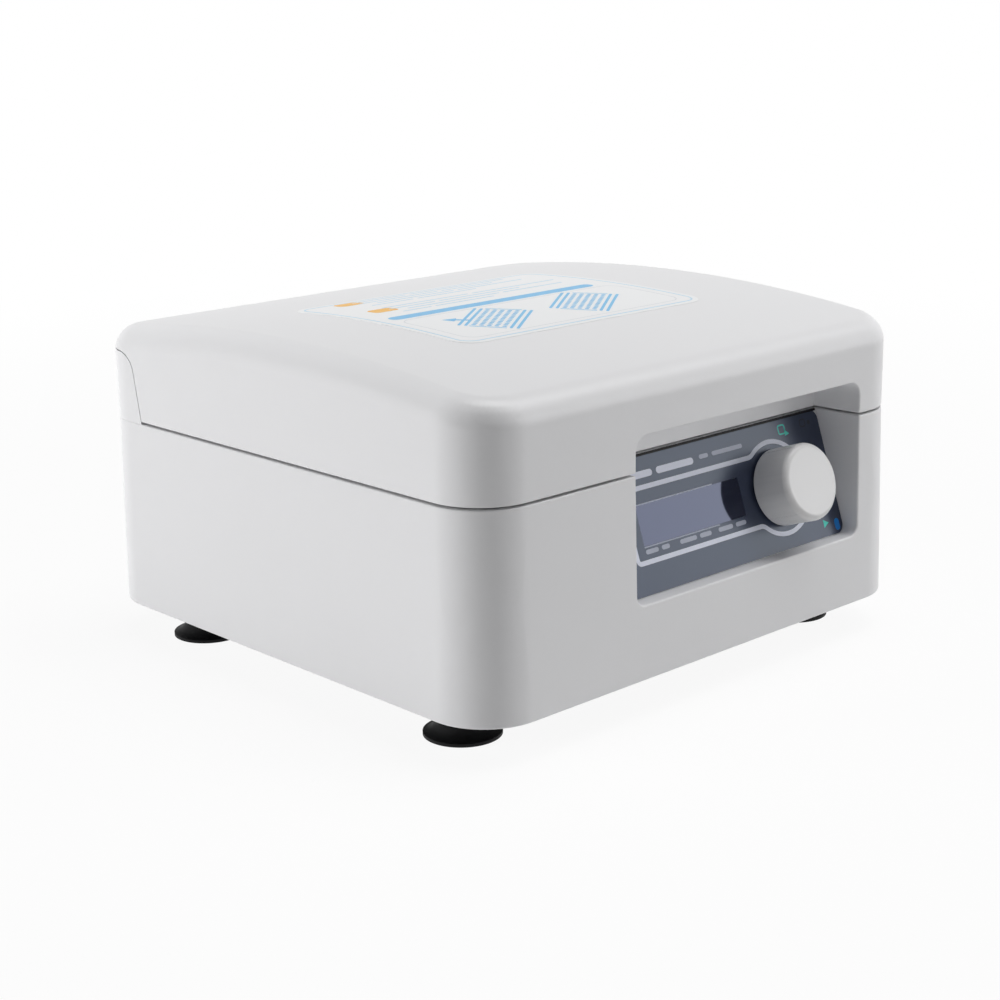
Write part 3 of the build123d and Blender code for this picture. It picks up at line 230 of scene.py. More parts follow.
def rubberSkin(name, look):
    # matt rubber with a cloudy bloom and the marks of its mould
    paint, texture = Paint(name), rubberTexture
    bloom = paint.noise(texture["bloom"], 4.0)
    tone = paint.tones(bloom, look["colour"], texture["dark"], texture["light"])
    gloss = look["roughness"] + (bloom - 0.5) * texture["bloomGloss"]
    normal = paint.bump(paint.noise(texture["mould"]), texture["strength"], texture["depth"])
    return paint.done(Base_Color=tone, Roughness=gloss, Normal=normal, IOR=look["ior"])


metalLooks = {
    "zinc_steel": {"colour": (0.62, 0.62, 0.60), "roughness": 0.32},
    "encoder_metal": {"colour": (0.60, 0.60, 0.58), "roughness": 0.30},
    "shaft_steel": {"colour": (0.66, 0.66, 0.67), "roughness": 0.20},
    "bearing_steel": {"colour": (0.70, 0.70, 0.71), "roughness": 0.16},
    "blade_brass": {"colour": (0.80, 0.68, 0.40), "roughness": 0.22},
}
metalTexture = {"lines": 900.0, "squeeze": (0.06, 0.06, 1.0), "lineGloss": 0.12, "strength": 0.08, "depth": 5e-5,
                "patches": 40.0, "dark": 0.9, "light": 1.06}


def turnedMetal(name, look):
    # turning lines round the upright axis: noise drawn out along x and y, so that it changes fastest along z
    paint, texture = Paint(name), metalTexture
    lines = paint.noise(texture["lines"], 2.0, stretch=texture["squeeze"])
    tone = paint.tones(paint.noise(texture["patches"], 3.0), look["colour"], texture["dark"], texture["light"])
    gloss = look["roughness"] + (lines - 0.5) * texture["lineGloss"]
    normal = paint.bump(lines, texture["strength"], texture["depth"])
    return paint.done(Base_Color=tone, Metallic=1.0, Roughness=gloss, Normal=normal)


blastedLooks = {
    "cast_aluminium": {"colour": (0.60, 0.61, 0.62), "roughness": 0.46, "speck": 0.30, "metal": 1.0},
    "anodised_plate": {"colour": (0.62, 0.63, 0.65), "roughness": 0.38, "speck": 0.16, "metal": 1.0},
    "cast_iron": {"colour": (0.12, 0.12, 0.125), "roughness": 0.52, "speck": 0.35, "metal": 0.8},
}
blastedTexture = {"specks": 2800.0, "speckGloss": 0.16, "depth": 6e-5, "patches": 22.0, "dark": 0.93, "light": 1.05}


def blastedMetal(name, look):
    # bead-blasted or sand-cast skin: a speckled bump, with slow patches in the colour
    paint, texture = Paint(name), blastedTexture
    speck = paint.noise(texture["specks"], 2.0)
    tone = paint.tones(paint.noise(texture["patches"], 3.0), look["colour"], texture["dark"], texture["light"])
    gloss = look["roughness"] + (speck - 0.5) * texture["speckGloss"]
    normal = paint.bump(speck, look["speck"], texture["depth"])
    return paint.done(Base_Color=tone, Metallic=look["metal"], Roughness=gloss, Normal=normal)


coatLooks = {
    "tray_steel": {"colour": (0.70, 0.71, 0.71), "peel": 0.18},
    "steel_sheet": {"colour": (0.42, 0.43, 0.44), "peel": 0.26},
}
coatTexture = {"roughness": 0.42, "peels": 700.0, "peelGloss": 0.1, "depth": 1e-4, "patches": 14.0, "dark": 0.95,
               "light": 1.04, "ior": 1.5}


def powderCoat(name, look):
    # powder coat: one noise gives the orange peel of its skin in the bump and the gloss
    paint, texture = Paint(name), coatTexture
    peel = paint.noise(texture["peels"], 3.0)
    tone = paint.tones(paint.noise(texture["patches"], 2.0), look["colour"], texture["dark"], texture["light"])
    gloss = texture["roughness"] + (peel - 0.5) * texture["peelGloss"]
    normal = paint.bump(peel, look["peel"], texture["depth"])
    return paint.done(Base_Color=tone, Roughness=gloss, Normal=normal, IOR=texture["ior"])


boardLook = {
    "colour": (0.012, 0.13, 0.05), "track": (0.03, 0.26, 0.10), "pitch": 0.0026, "trackFrom": 0.93,
    "fields": 70.0, "fieldFrom": 0.52, "roughness": 0.3, "dust": 300.0, "dustGloss": 0.1,
    "strength": 0.3, "depth": 4e-5, "ior": 1.5,
}


def boardResist():
    # solder resist over straight tracks: where |sin| of x or of y nears one, switched by a blocky noise
    paint, look = Paint("boardResist"), boardLook
    across, along = (
        abs(paint.node("ShaderNodeMath", {"operation": "SINE"}, side * (math.pi / look["pitch"]))) > look["trackFrom"]
        for side in paint.split(paint.place())[:2]
    )
    field = paint.noise(look["fields"], 0.0) > look["fieldFrom"]
    tracks = across * field + along * (1 - field)
    tone = paint.blend(tracks, look["colour"], look["track"])
    gloss = look["roughness"] + paint.noise(look["dust"]) * look["dustGloss"]
    normal = paint.bump(tracks, look["strength"], look["depth"])
    return paint.done(Base_Color=tone, Roughness=gloss, Normal=normal, IOR=look["ior"])


foamLook = {"colour": (0.72, 0.70, 0.62), "cells": 900.0, "light": 1.05, "dark": 0.8, "roughness": 0.85,
            "strength": 0.5, "depth": 3e-4}


def foamSkin():
    # closed-cell foam: each cell shows as a small pit
    paint, look = Paint("foamSkin"), foamLook
    cells = paint.node("ShaderNodeTexVoronoi", {"feature": "F1"}, Vector=paint.place(), Scale=look["cells"])
    tone = paint.tones(cells, look["colour"], look["light"], look["dark"])
    normal = paint.bump(cells, look["strength"], look["depth"])
    return paint.done(Base_Color=tone, Roughness=look["roughness"], Normal=normal)


filmLook = {
    "colour": (0.036, 0.046, 0.084), "roughness": 0.30, "tint": (0.80, 0.90, 1.0, 1.0), "ior": 1.47,
    "fine": 4200.0, "fineGloss": 0.08, "strength": 0.06, "depth": 3e-5, "patches": 12.0, "dark": 0.95, "light": 1.06,
}


def printedFilm():
    # fine-textured polyester sheet, printed on its back
    paint, look = Paint("printedFilm"), filmLook
    fine = paint.noise(look["fine"], 2.0)
    tone = paint.tones(paint.noise(look["patches"], 2.0), look["colour"], look["dark"], look["light"])
    gloss = look["roughness"] + (fine - 0.5) * look["fineGloss"]
    normal = paint.bump(fine, look["strength"], look["depth"])
    return paint.done(Base_Color=tone, Roughness=gloss, Normal=normal, IOR=look["ior"], Specular_Tint=look["tint"])


glassLooks = {
    "window_clear": {"colour": (0.003, 0.004, 0.016), "roughness": 0.045, "tint": (0.60, 0.68, 1.0, 1.0), "ior": 1.62},
    "display_black": {"colour": (0.010, 0.010, 0.012), "roughness": 0.12, "tint": (1.0, 1.0, 1.0, 1.0), "ior": 1.50},
}
glassTexture = {"smears": 60.0, "smearGloss": 0.03, "dark": 0.9, "light": 1.2}


def darkGlass(name, look):
    # glossy pane over an unlit display, with a trace of smears
    paint, texture = Paint(name), glassTexture
    smear = paint.noise(texture["smears"], 3.0)
    tone = paint.tones(smear, look["colour"], texture["dark"], texture["light"])
    gloss = look["roughness"] + smear * texture["smearGloss"]
    return paint.done(Base_Color=tone, Roughness=gloss, IOR=look["ior"], Specular_Tint=look["tint"])


inkLooks = {
    "paleInk": {"colour": (0.74, 0.77, 0.88), "roughness": 0.42},
    "softInk": {"colour": (0.40, 0.43, 0.52), "roughness": 0.42},
    "tealInk": {"colour": (0.03, 0.58, 0.48), "roughness": 0.42},
    "blueInk": {"colour": (0.0, 0.24, 0.78), "roughness": 0.35},
    "darkInk": {"colour": (0.02, 0.024, 0.04), "roughness": 0.42},
    "labelPaleInk": {"colour": (0.50, 0.70, 0.85), "roughness": 0.36},
    "labelGreyInk": {"colour": (0.70, 0.73, 0.76), "roughness": 0.36},
    "labelBlueInk": {"colour": (0.11, 0.47, 0.80), "roughness": 0.36},
    "labelAmberInk": {"colour": (0.88, 0.44, 0.0), "roughness": 0.36},
    "whiteInk": {"colour": (0.72, 0.72, 0.70), "roughness": 0.5},
}
inkTexture = {"screen": 2400.0, "screenGloss": 0.1, "dark": 0.93, "light": 1.05}


def printedInk(name, look):
    # screen-printed ink with the slight unevenness of its mesh
    paint, texture = Paint(name), inkTexture
    screen = paint.noise(texture["screen"], 2.0)
    tone = paint.tones(screen, look["colour"], texture["dark"], texture["light"])
    return paint.done(Base_Color=tone, Roughness=look["roughness"] + (screen - 0.5) * texture["screenGloss"])


labelLook = {"colour": (0.87, 0.88, 0.89), "roughness": 0.30, "slow": 16.0, "mottle": 0.015, "slowGloss": 0.06,
             "strength": 0.05, "depth": 4e-4, "ior": 1.46}


def labelFilm():
    # laminated label: smoother and a little glossier than the case
    paint, look = Paint("labelFilm"), labelLook
    slow = paint.noise(look["slow"], 3.0)
    tone = paint.tones(slow, look["colour"], 1 - look["mottle"], 1 + look["mottle"])
    gloss = look["roughness"] + (slow - 0.5) * look["slowGloss"]
    normal = paint.bump(slow, look["strength"], look["depth"])
    return paint.done(Base_Color=tone, Roughness=gloss, Normal=normal, IOR=look["ior"])


finishes = {"knob_plastic": knobPlastic(), "circuit_board": boardResist(), "foam": foamSkin(),
            "overlay_film": printedFilm()}
for build, looks in ((mouldedPlastic, plasticLooks), (rubberSkin, rubberLooks), (turnedMetal, metalLooks),
                     (blastedMetal, blastedLooks), (powderCoat, coatLooks), (darkGlass, glassLooks)):
    for slotName, look in looks.items():
        finishes[slotName] = build(slotName, look)
inks = {name: printedInk(name, look) for name, look in inkLooks.items()}
for nodeName, node in frame["nodes"].items():
    node.data.materials.clear()
    node.data.materials.append(finishes[nodeSlot[nodeName]])
print("finishes:", len(finishes), "inks:", len(inks))


# meshes: every new shape is a grid of points worked out with numpy; angles are those above which an edge stays sharp


meshLook = {"weldDistance": 1e-6, "sliverLength": 1e-7, "skinAngle": 28.0, "markAngle": 40.0, "screwAngle": 45.0}


def gridFaces(nu, nv, closeU, closeV):
    # quads of an nu by nv grid, joined up at its ends where it is closed
    index = np.arange(nu * nv).reshape(nu, nv)
    rows = np.vstack([index, index[:1]]) if closeU else index
    rows = np.hstack([rows, rows[:, :1]]) if closeV else rows
    return np.stack([rows[:-1, :-1], rows[1:, :-1], rows[1:, 1:], rows[:-1, 1:]], -1).reshape(-1, 4)


def dress(name, mesh, body, material, slot, angle, outwards):
    # welds a mesh, shades it softly up to the angle, and lets it ride on its body
    work = bmesh.new()
    work.from_mesh(mesh)
    bmesh.ops.remove_doubles(work, verts=work.verts, dist=meshLook["weldDistance"])
    bmesh.ops.dissolve_degenerate(work, dist=meshLook["sliverLength"], edges=work.edges)
    if outwards:
        bmesh.ops.recalc_face_normals(work, faces=work.faces)
    for face in work.faces:
        face.smooth = True
    for edge in work.edges:
        if len(edge.link_faces) == 2:
            edge.smooth = edge.calc_face_angle(0.0) < math.radians(angle)
    work.to_mesh(mesh)
    work.free()
    piece = bpy.data.objects.new(name, mesh)
    bpy.context.scene.collection.objects.link(piece)
    mesh.materials.clear()
    mesh.materials.append(material)
    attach(piece, body)
    return piece


def addPiece(name, grids, body, material, slot, angle):
    # each grid is (points of shape nu, nv, 3; closed along u; closed along v)
    points, faces, start = [], [], 0
    for grid, closeU, closeV in grids:
        nu, nv = grid.shape[:2]
        points.append(grid.reshape(-1, 3))
        faces.append(gridFaces(nu, nv, closeU, closeV) + start)
        start += nu * nv
    mesh = bpy.data.meshes.new(name)
    mesh.from_pydata(np.vstack(points).tolist(), [], np.vstack(faces).tolist())
    return dress(name, mesh, body, material, slot, angle, True)


def smoothSkin(node):
    # the CAD node's own shape, welded, so that its curved faces shade without facets
    source, slotName = frame["nodes"][node], nodeSlot[node]
    mesh, body, material = source.data.copy(), source["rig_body"], finishes[slotName]
    skin = dress(node + "Skin", mesh, body, material, slotName, meshLook["skinAngle"], False)
    weigh = skin.modifiers.new("weigh", "WEIGHTED_NORMAL")
    weigh.keep_sharp = True
    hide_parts(node)


for nodeName in frame["nodes"]:
    smoothSkin(nodeName)
print("skins:", len(frame["nodes"]))


# printed marks: closed slips a few hundredths of a millimetre thick, each grid holding (u, v, share of its height);
# all lengths here are in millimetres


markLook = {"cornerPoints": 6, "rimStep": 4.0, "capPoints": 7, "barStep": 3.0, "slipStep": 1.2, "discSides": 20,
            "sink": 0.01}


def fillLine(line, step):
    # adds points so that a closed line has none further apart than step
    ahead = np.roll(line, -1, 0)
    count = np.maximum(1, np.ceil(np.linalg.norm(ahead - line, axis=1) / step)).astype(int)
    start = np.repeat(np.arange(len(line)), count)
    share = np.concatenate([np.arange(n) / n for n in count])[:, None]
    return line[start] * (1 - share) + ahead[start] * share


def roundedRim(centre, width, height, radius, perCorner=markLook["cornerPoints"], step=markLook["rimStep"]):
    # a rectangle with round corners: a quarter circle at each corner, then points along the sides
    angle = np.linspace(0, math.pi / 2, perCorner)[None, :] + np.arange(4)[:, None] * math.pi / 2
    signs = np.array([(1, 1), (-1, 1), (-1, -1), (1, -1)])
    middles = signs * (np.array([width, height]) / 2 - radius)
    line = middles[:, None, :] + radius * np.stack([np.cos(angle), np.sin(angle)], -1)
    return fillLine(line.reshape(-1, 2), step) + np.array(centre)


def slip(rim, rings=2):
    # from the middle out to the rim on top, over its edge, and back to the middle underneath
    middle = rim.mean(0)
    reach = np.concatenate([np.linspace(0, 1, rings + 1), np.linspace(1, 0, rings + 1)])
    height = np.concatenate([np.ones(rings + 1), np.zeros(rings + 1)])
    flat = middle + (rim[:, None, :] - middle) * reach[None, :, None]
    return np.concatenate([flat, np.broadcast_to(height[None, :, None], (*flat.shape[:2], 1))], -1), True, False


def ribbon(path, width):
    # a band of constant width along a closed line: its four-cornered section is set square to the line
    ahead = np.roll(path, -1, 0) - np.roll(path, 1, 0)
    side = np.stack([-ahead[:, 1], ahead[:, 0]], -1)
    side /= np.linalg.norm(side, axis=1, keepdims=True)
    across = np.array([-0.5, -0.5, 0.5, 0.5]) * width
    height = np.array([0.0, 1.0, 1.0, 0.0])
    flat = path[:, None, :] + side[:, None, :] * across[None, :, None]
    return np.concatenate([flat, np.broadcast_to(height[None, :, None], (len(path), 4, 1))], -1), True, True


def bar(start, end, width):
    # a bar between two points: a half circle of its own width round each end, within its length
    start, end = np.array(start, float), np.array(end, float)
    along = (end - start) / np.linalg.norm(end - start)
    arc = np.linspace(-math.pi / 2, math.pi / 2, markLook["capPoints"]) + math.atan2(along[1], along[0])
    cap = np.stack([np.cos(arc), np.sin(arc)], -1) * width / 2
    inset = along * width / 2
    return slip(fillLine(np.vstack([end - inset + cap, start + inset - cap]), markLook["barStep"]))


def disc(centre, radius, sides=markLook["discSides"]):
    # centre + radius * (cos, sin) at equal angles
    angle = np.arange(sides) * 2 * math.pi / sides
    return slip(np.array(centre) + radius * np.stack([np.cos(angle), np.sin(angle)], -1))


def corneredSlip(*corners):
    # straight sides from corner to corner
    return slip(fillLine(np.array(corners, float), markLook["slipStep"]))


def layMarks(name, shapes, place, low, high, body, ink, slot):
    # height = low + share * (high - low), and place turns (u, v, height) into points in metres
    grids = []
    for flat, closeU, closeV in shapes:
        grids.append((place(flat[..., 0], flat[..., 1], low + (high - low) * flat[..., 2]), closeU, closeV))
    return addPiece(name, grids, body, ink, slot, meshLook["markAngle"])


panelPrint = {
    "backY": -107.05, "topZ": 106.3, "tilt": 18.88, "lift": 0.04,
    "knob": (62.2, -31.35), "ringRadius": 21.2, "boxLeft": -35.2, "boxTop": -14.8, "boxBottom": -46.0,
    "lineWidth": 2.1, "lineSoftness": 2.4, "arcPoints": 90, "fillStep": 0.5, "evenStep": 0.4,
    "titleBars": ((-44.0, -31.0), (-28.5, -14.5), (-12.0, 12.0)), "titleY": -9.4, "titleWidth": 3.0,
    "subBars": ((16.0, 22.0), (24.5, 45.0)), "subY": -8.7, "subWidth": 1.9,
    "labelBars": ((-29.4, -21.5), (-19.5, -14.5), (-7.8, 3.0), (5.0, 12.6), (17.4, 27.0), (29.0, 36.0)),
    "labelY": -41.8, "labelWidth": 2.0,
    "windowMask": ((-39.0, -39.9), (-29.5, -39.9), (-29.5, -21.3), (-39.0, -21.3)), "maskLift": 0.03,
    "windowLines": (((-29.5, -21.6), (20.0, -21.6)), ((-29.5, -39.7), (19.0, -39.7))), "windowLine": 0.5,
    # the top strip is painted shadow: black, laid in the shaded gap under the lid's ledge
    "topShadowStrip": ((-47.8, -1.15), (100.4, -1.15)), "topShadowStripWidth": 1.18, "topShadowStripDepth": 0.5, "topShadowStripLift": 0.06,
    "tealFrame": (73.6, -6.4), "tealFrameSize": (4.4, 4.0), "frameLine": 0.7, "frameRim": (0.9, 4, 1.0),
    "tealArrow": ((75.2, -9.6), (78.4, -9.0), (75.9, -7.0)), "tealMark": ((87.2, -51.6), (87.2, -55.4), (90.8, -53.5)),
    "blueMark": (96.5, -55.4), "blueMarkSize": (3.3, 5.6), "blueMarkCorner": 1.6,
    "darkFrame": (89.0, -5.9), "darkFrameSize": (3.6, 3.2), "darkDot": (93.4, -6.2), "darkDotRadius": 1.0,
}


def onPanel(u, w, lift):
    # x is u; y and z are the film's top edge plus w along the slope, up it, and lift along its outward normal
    tilt = math.radians(panelPrint["tilt"])
    y = panelPrint["backY"] + w * math.sin(tilt) - lift * math.cos(tilt)
    z = panelPrint["topZ"] + w * math.cos(tilt) + lift * math.sin(tilt)
    return np.stack([u, y, z], -1) * mm


def frameLine():
    # the outline of a box joined to the knob's circle, sampled evenly and averaged along itself to round its corners
    kx, ky = panelPrint["knob"]
    radius, left = panelPrint["ringRadius"], panelPrint["boxLeft"]
    top, bottom = panelPrint["boxTop"], panelPrint["boxBottom"]
    high, low = math.asin((top - ky) / radius), math.asin((bottom - ky) / radius)
    arc = np.linspace(math.pi - high, -math.pi - low, panelPrint["arcPoints"])
    circle = np.stack([kx + radius * np.cos(arc), ky + radius * np.sin(arc)], -1)
    line = fillLine(np.vstack([circle, [(left, bottom), (left, top)]]), panelPrint["fillStep"])
    gap = np.linalg.norm(np.roll(line, -1, 0) - line, axis=1)
    walk = np.concatenate([[0], np.cumsum(gap)])
    even = np.arange(0, walk[-1], panelPrint["evenStep"])
    closedLine = np.vstack([line, line[:1]])
    line = np.stack([np.interp(even, walk, closedLine[:, i]) for i in (0, 1)], -1)
    reach = int(panelPrint["lineSoftness"] / panelPrint["evenStep"])
    return sum(np.roll(line, k, 0) for k in range(-reach, reach + 1))[::2] / (2 * reach + 1)


def makePanelPrint():
    # the marks on the sloping panel's film, and a black strip along the film's top edge that paints the shadow in the
    # gap under the lid's ledge
    def lay(name, shapes, ink):
        layMarks(name, shapes, onPanel, -markLook["sink"], panelPrint["lift"], "base", inks[ink], "overlay_film")

    def bars(key):
        y, width = panelPrint[key + "Y"], panelPrint[key + "Width"]
        return [bar((left, y), (right, y), width) for left, right in panelPrint[key + "Bars"]]

    lay("panelOutline", [ribbon(frameLine(), panelPrint["lineWidth"])] + bars("title"), "paleInk")
    lines = [bar(*ends, panelPrint["windowLine"]) for ends in panelPrint["windowLines"]]
    lay("panelLegends", lines + bars("sub") + bars("label"), "softInk")
    layMarks("panelWindowMask", [corneredSlip(*panelPrint["windowMask"])], onPanel, -markLook["sink"],
             panelPrint["maskLift"], "base", finishes["overlay_film"], "overlay_film")
    line, rim = panelPrint["frameLine"], panelPrint["frameRim"]
    tealFrame = roundedRim(panelPrint["tealFrame"], *panelPrint["tealFrameSize"], *rim)
    teal = [corneredSlip(*panelPrint["tealArrow"]), corneredSlip(*panelPrint["tealMark"])]
    lay("panelTealMarks", [ribbon(tealFrame, line)] + teal, "tealInk")
    blueMark = roundedRim(panelPrint["blueMark"], *panelPrint["blueMarkSize"], panelPrint["blueMarkCorner"])
    lay("panelBlueMark", [slip(blueMark)], "blueInk")
    darkFrame = roundedRim(panelPrint["darkFrame"], *panelPrint["darkFrameSize"], *rim)
    dark = [ribbon(darkFrame, line), disc(panelPrint["darkDot"], panelPrint["darkDotRadius"])]
    lay("panelDarkMarks", dark, "darkInk")
    # painted shadow: a black rubber-finished strip where the gap under the lid's ledge lies in shade
    shadowStrip = bar(*panelPrint["topShadowStrip"], panelPrint["topShadowStripWidth"])
    layMarks("panelTopShadowStrip", [shadowStrip], onPanel, -panelPrint["topShadowStripDepth"], panelPrint["topShadowStripLift"], "base",
             finishes["foot_rubber"], "foot_rubber")


makePanelPrint()
print("panel print done")


lidLabel = {
    "crown": 156.8, "edge": 146.6, "halfDepth": 132.3,
    "centre": (0.0, -1.5), "width": 152.0, "depth": 121.0, "corner": 10.0, "thickness": 0.14, "sheetDepth": 0.05,
    "sheetRings": 22, "inkDepth": 0.02, "inkLift": 0.03,
    "lineInset": 3.2, "lineWidth": 0.9, "innerBox": (0.0, -31.0, 134.0, 47.0), "innerCorner": 7.0, "innerLine": 0.5,
    "band": ((-66.0, -1.0), (61.0, -1.0)), "bandWidth": 7.0,
    "rows": ((51.5, -45, -12, 52), (46.5, -45, 4, 40), (41.5, -38, 10, 55), (36.5, -45, -20, 20),
             (26.0, -48, 5, 62), (21.0, -48, -20, 34), (16.0, -41, 16, 58), (11.0, -48, -31, 8)),
    "rowWidth": 1.2, "rowGap": 2.5, "dots": ((-48.0, 50.0), (-52.0, 20.5)), "dotSize": (14.0, 8.5), "dotCorner": 2.6,
    "plates": ((-29.7, -30.6), (27.4, -29.4)), "plateWidth": 40.0, "plateDepth": 20.0, "plateTurn": 37.0,
    "edgeGap": 3.0, "edgeWidth": 1.4, "endInset": 1.6, "endWidth": 0.9,
    "wellColumns": 12, "wellRows": 5, "wellPitch": (3.1, 3.4), "wellRadius": 1.15, "wellSides": 8,
    "arrow": ((-51.0, -18.6), (-49.0, -24.4), (-47.3, -22.9), (-42.6, -28.2), (-41.0, -26.8), (-45.7, -21.5),
              (-44.0, -20.0)),
}


def onRoof(x, y, lift):
    # the roof is part of a cylinder through its crown and its front and rear edges: with the chord's half width a and
    # the rise h, radius = (a squared + h squared) / 2h, and z falls from the crown as sqrt(radius squared - y squared)
    rise, reach = lidLabel["crown"] - lidLabel["edge"], lidLabel["halfDepth"]
    radius = (reach ** 2 + rise ** 2) / (2 * rise)
    z = lidLabel["crown"] - radius + np.sqrt(radius ** 2 - y ** 2)
    return np.stack([x, y, z + lift], -1) * mm


def plateSign(cx, cy):
    # a microplate seen from above, turned on the sheet: two bars along each side, one at each end, and rows of wells
    label = lidLabel
    halfWide, halfDeep = label["plateWidth"] / 2, label["plateDepth"] / 2
    turn = math.radians(label["plateTurn"])
    across, up = np.array([math.cos(turn), math.sin(turn)]), np.array([-math.sin(turn), math.cos(turn)])

    def at(u, v):
        return np.array([cx, cy]) + u * across + v * up

    shapes, endReach = [], halfDeep - label["endInset"]
    for side in (-1, 1):
        for step in (0.0, label["edgeGap"]):
            v = side * (halfDeep + step)
            shapes.append(bar(at(-halfWide, v), at(halfWide, v), label["edgeWidth"]))
        shapes.append(bar(at(side * halfWide, -endReach), at(side * halfWide, endReach), label["endWidth"]))
    columns, rows = (
        (np.arange(count) - (count - 1) / 2) * pitch
        for count, pitch in zip((label["wellColumns"], label["wellRows"]), label["wellPitch"])
    )
    wells = np.stack(np.meshgrid(columns, rows), -1).reshape(-1, 2) @ np.array([across, up]) + (cx, cy)
    return shapes + [disc(well, label["wellRadius"], label["wellSides"]) for well in wells]


def makeLidLabel():
    # the sheet has rings enough to follow the roof's curve, and its marks stand a little above it
    label, top = lidLabel, lidLabel["thickness"]
    low, high = top - label["inkDepth"], top + label["inkLift"]

    def lay(name, shapes, ink):
        layMarks(name, shapes, onRoof, low, high, "lid", inks[ink], "case_plastic")

    rim = roundedRim(label["centre"], label["width"], label["depth"], label["corner"])
    sheet = [slip(rim, label["sheetRings"])]
    layMarks("lidLabel", sheet, onRoof, -label["sheetDepth"], top, "lid", labelFilm(), "case_plastic")
    inset = label["lineInset"]
    line = roundedRim(label["centre"], label["width"] - 2 * inset, label["depth"] - 2 * inset, label["corner"] - inset)
    rows = [ribbon(line, label["lineWidth"])]
    for y, left, split, right in label["rows"]:
        rows.append(bar((left, y), (split, y), label["rowWidth"]))
        rows.append(bar((split + label["rowGap"], y), (right, y), label["rowWidth"]))
    lay("lidLabelRows", rows, "labelPaleInk")
    x, y, width, depth = label["innerBox"]
    innerRim = roundedRim((x, y), width, depth, label["innerCorner"])
    lay("lidLabelInnerLine", [ribbon(innerRim, label["innerLine"])], "labelGreyInk")
    blue = [bar(*label["band"], label["bandWidth"])]
    for place in label["plates"]:
        blue += plateSign(*place)
    blue.append(corneredSlip(*label["arrow"]))
    lay("lidLabelBlueMarks", blue, "labelBlueInk")
    dots = [slip(roundedRim(place, *label["dotSize"], label["dotCorner"])) for place in label["dots"]]
    lay("lidLabelAmberMarks", dots, "labelAmberInk")


makeLidLabel()
print("lid label done")


# rear panel: screws in the inlet's flange, and the two marks on the rocker


inletScrews = {
    "middle": (78.0, 46.0), "pitch": 40.0, "faceY": 133.5, "headRadius": 2.9, "headRise": 1.5,
    "socketRadius": 1.15, "socketDepth": 1.0, "sides": 32, "fall": 0.75, "lobes": 6, "lobeDepth": 0.13,
    "profile": (0.0, 1.0, 1.0, 1.12, 1.6, 2.1, 2.45, 2.52, 2.52, 0.0),  # radii in socket radii, from its floor outwards
    "lobed": (0, 1, 1, 0.4, 0, 0, 0, 0, 0, 0),  # how far each of them follows the lobes
}


def screwHead(x, z):
    # a dome turned about y, rise * sqrt(1 - fall * r squared), with a lobed socket in its middle whose radius swings
    # by lobeDepth * cos(lobes * angle)
    look = inletScrews
    angle = np.linspace(0, 2 * math.pi, look["sides"], endpoint=False)
    reach = np.array(look["profile"]) * look["socketRadius"]
    rise = look["headRise"] * np.sqrt(np.clip(1 - look["fall"] * (reach / look["headRadius"]) ** 2, 0, 1))
    rise[:2] -= look["socketDepth"]
    rise[-2:] = 0.0
    lobes = 1 + look["lobeDepth"] * np.cos(look["lobes"] * angle)[:, None] * np.array(look["lobed"])[None, :]
    radius = reach[None, :] * lobes
    points = [x + radius * np.cos(angle)[:, None], look["faceY"] + rise[None, :] + 0 * radius,
              z + radius * np.sin(angle)[:, None]]
    return np.stack(points, -1) * mm, True, False


def makeInletScrews():
    # one screw on each side of the inlet
    x, z = inletScrews["middle"]
    half = inletScrews["pitch"] / 2
    addPiece("inletFlangeScrews", [screwHead(x - half, z), screwHead(x + half, z)], "base",
             finishes["zinc_steel"], "zinc_steel", meshLook["screwAngle"])


rockerMarks = {
    "pivot": (26.0, 129.0, 46.0), "turn": -8.0, "valley": 4.42, "slope": 0.141, "lift": 0.05,
    "bar": ((0.0, 2.9), (0.0, 5.1)), "barWidth": 0.55, "ring": (0.0, -4.0), "ringSize": 2.2, "ringLine": 0.4,
    "quarterPoints": 8,
}


def onRocker(u, w, lift):
    # the rocker's two flats meet in a valley: y = valley + slope * |w| + lift, turned with w about its pivot
    look, turn = rockerMarks, math.radians(rockerMarks["turn"])
    y = look["valley"] + look["slope"] * np.abs(w) + lift
    x, side, up = look["pivot"]
    behind = side + y * math.cos(turn) - w * math.sin(turn)
    return np.stack([x + u, behind, up + y * math.sin(turn) + w * math.cos(turn)], -1) * mm


def makeRockerMarks():
    # a bar for on, and a ring for off: a square with corners as round as it can have
    size, look = rockerMarks["ringSize"], rockerMarks
    ring = roundedRim(look["ring"], size, size, size / 2, look["quarterPoints"])
    shapes = [bar(*look["bar"], look["barWidth"]), ribbon(ring, look["ringLine"])]
    layMarks("rockerMarks", shapes, onRocker, -markLook["sink"], look["lift"], "power_rocker", inks["whiteInk"],
             "black_plastic")


makeInletScrews()
makeRockerMarks()
print("rear panel fittings done")


# stage: floor, light and camera


stageLook = {
    "floorColour": (0.86, 0.86, 0.86), "floorPatches": 6.0, "floorMottle": 0.01, "floorReach": 6.0,
    "glowNear": 0.92, "glowReach": (0.35, 1.1), "lampAim": (0.0, 0.0, 0.08),
}
lights = {
    "left": {"toward": (-0.82, 0.57, 0.12), "distance": 2.5, "size": (1.2, 1.0), "power": 38.0, "mirrored": False},
    "leftSheen": {"toward": (-0.82, 0.57, 0.12), "distance": 2.5, "size": (1.2, 1.0), "power": 14.0, "mirrored": True},
    "front": {"toward": (0.72, -0.66, 0.22), "distance": 2.5, "size": (1.5, 1.5), "power": 9.0, "mirrored": False},
    "frontSheen": {"toward": (0.703, -0.691, 0.166), "distance": 2.3, "size": (0.8, 0.7), "power": 5.0,
                   "mirrored": True},
    "frontTop": {"toward": (0.45, -0.30, 0.84), "distance": 2.5, "size": (1.6, 1.6), "power": 25.0, "mirrored": True},
    "top": {"toward": (0.15, -0.05, 0.98), "distance": 2.5, "size": (1.2, 1.2), "power": 24.0, "mirrored": True},
}
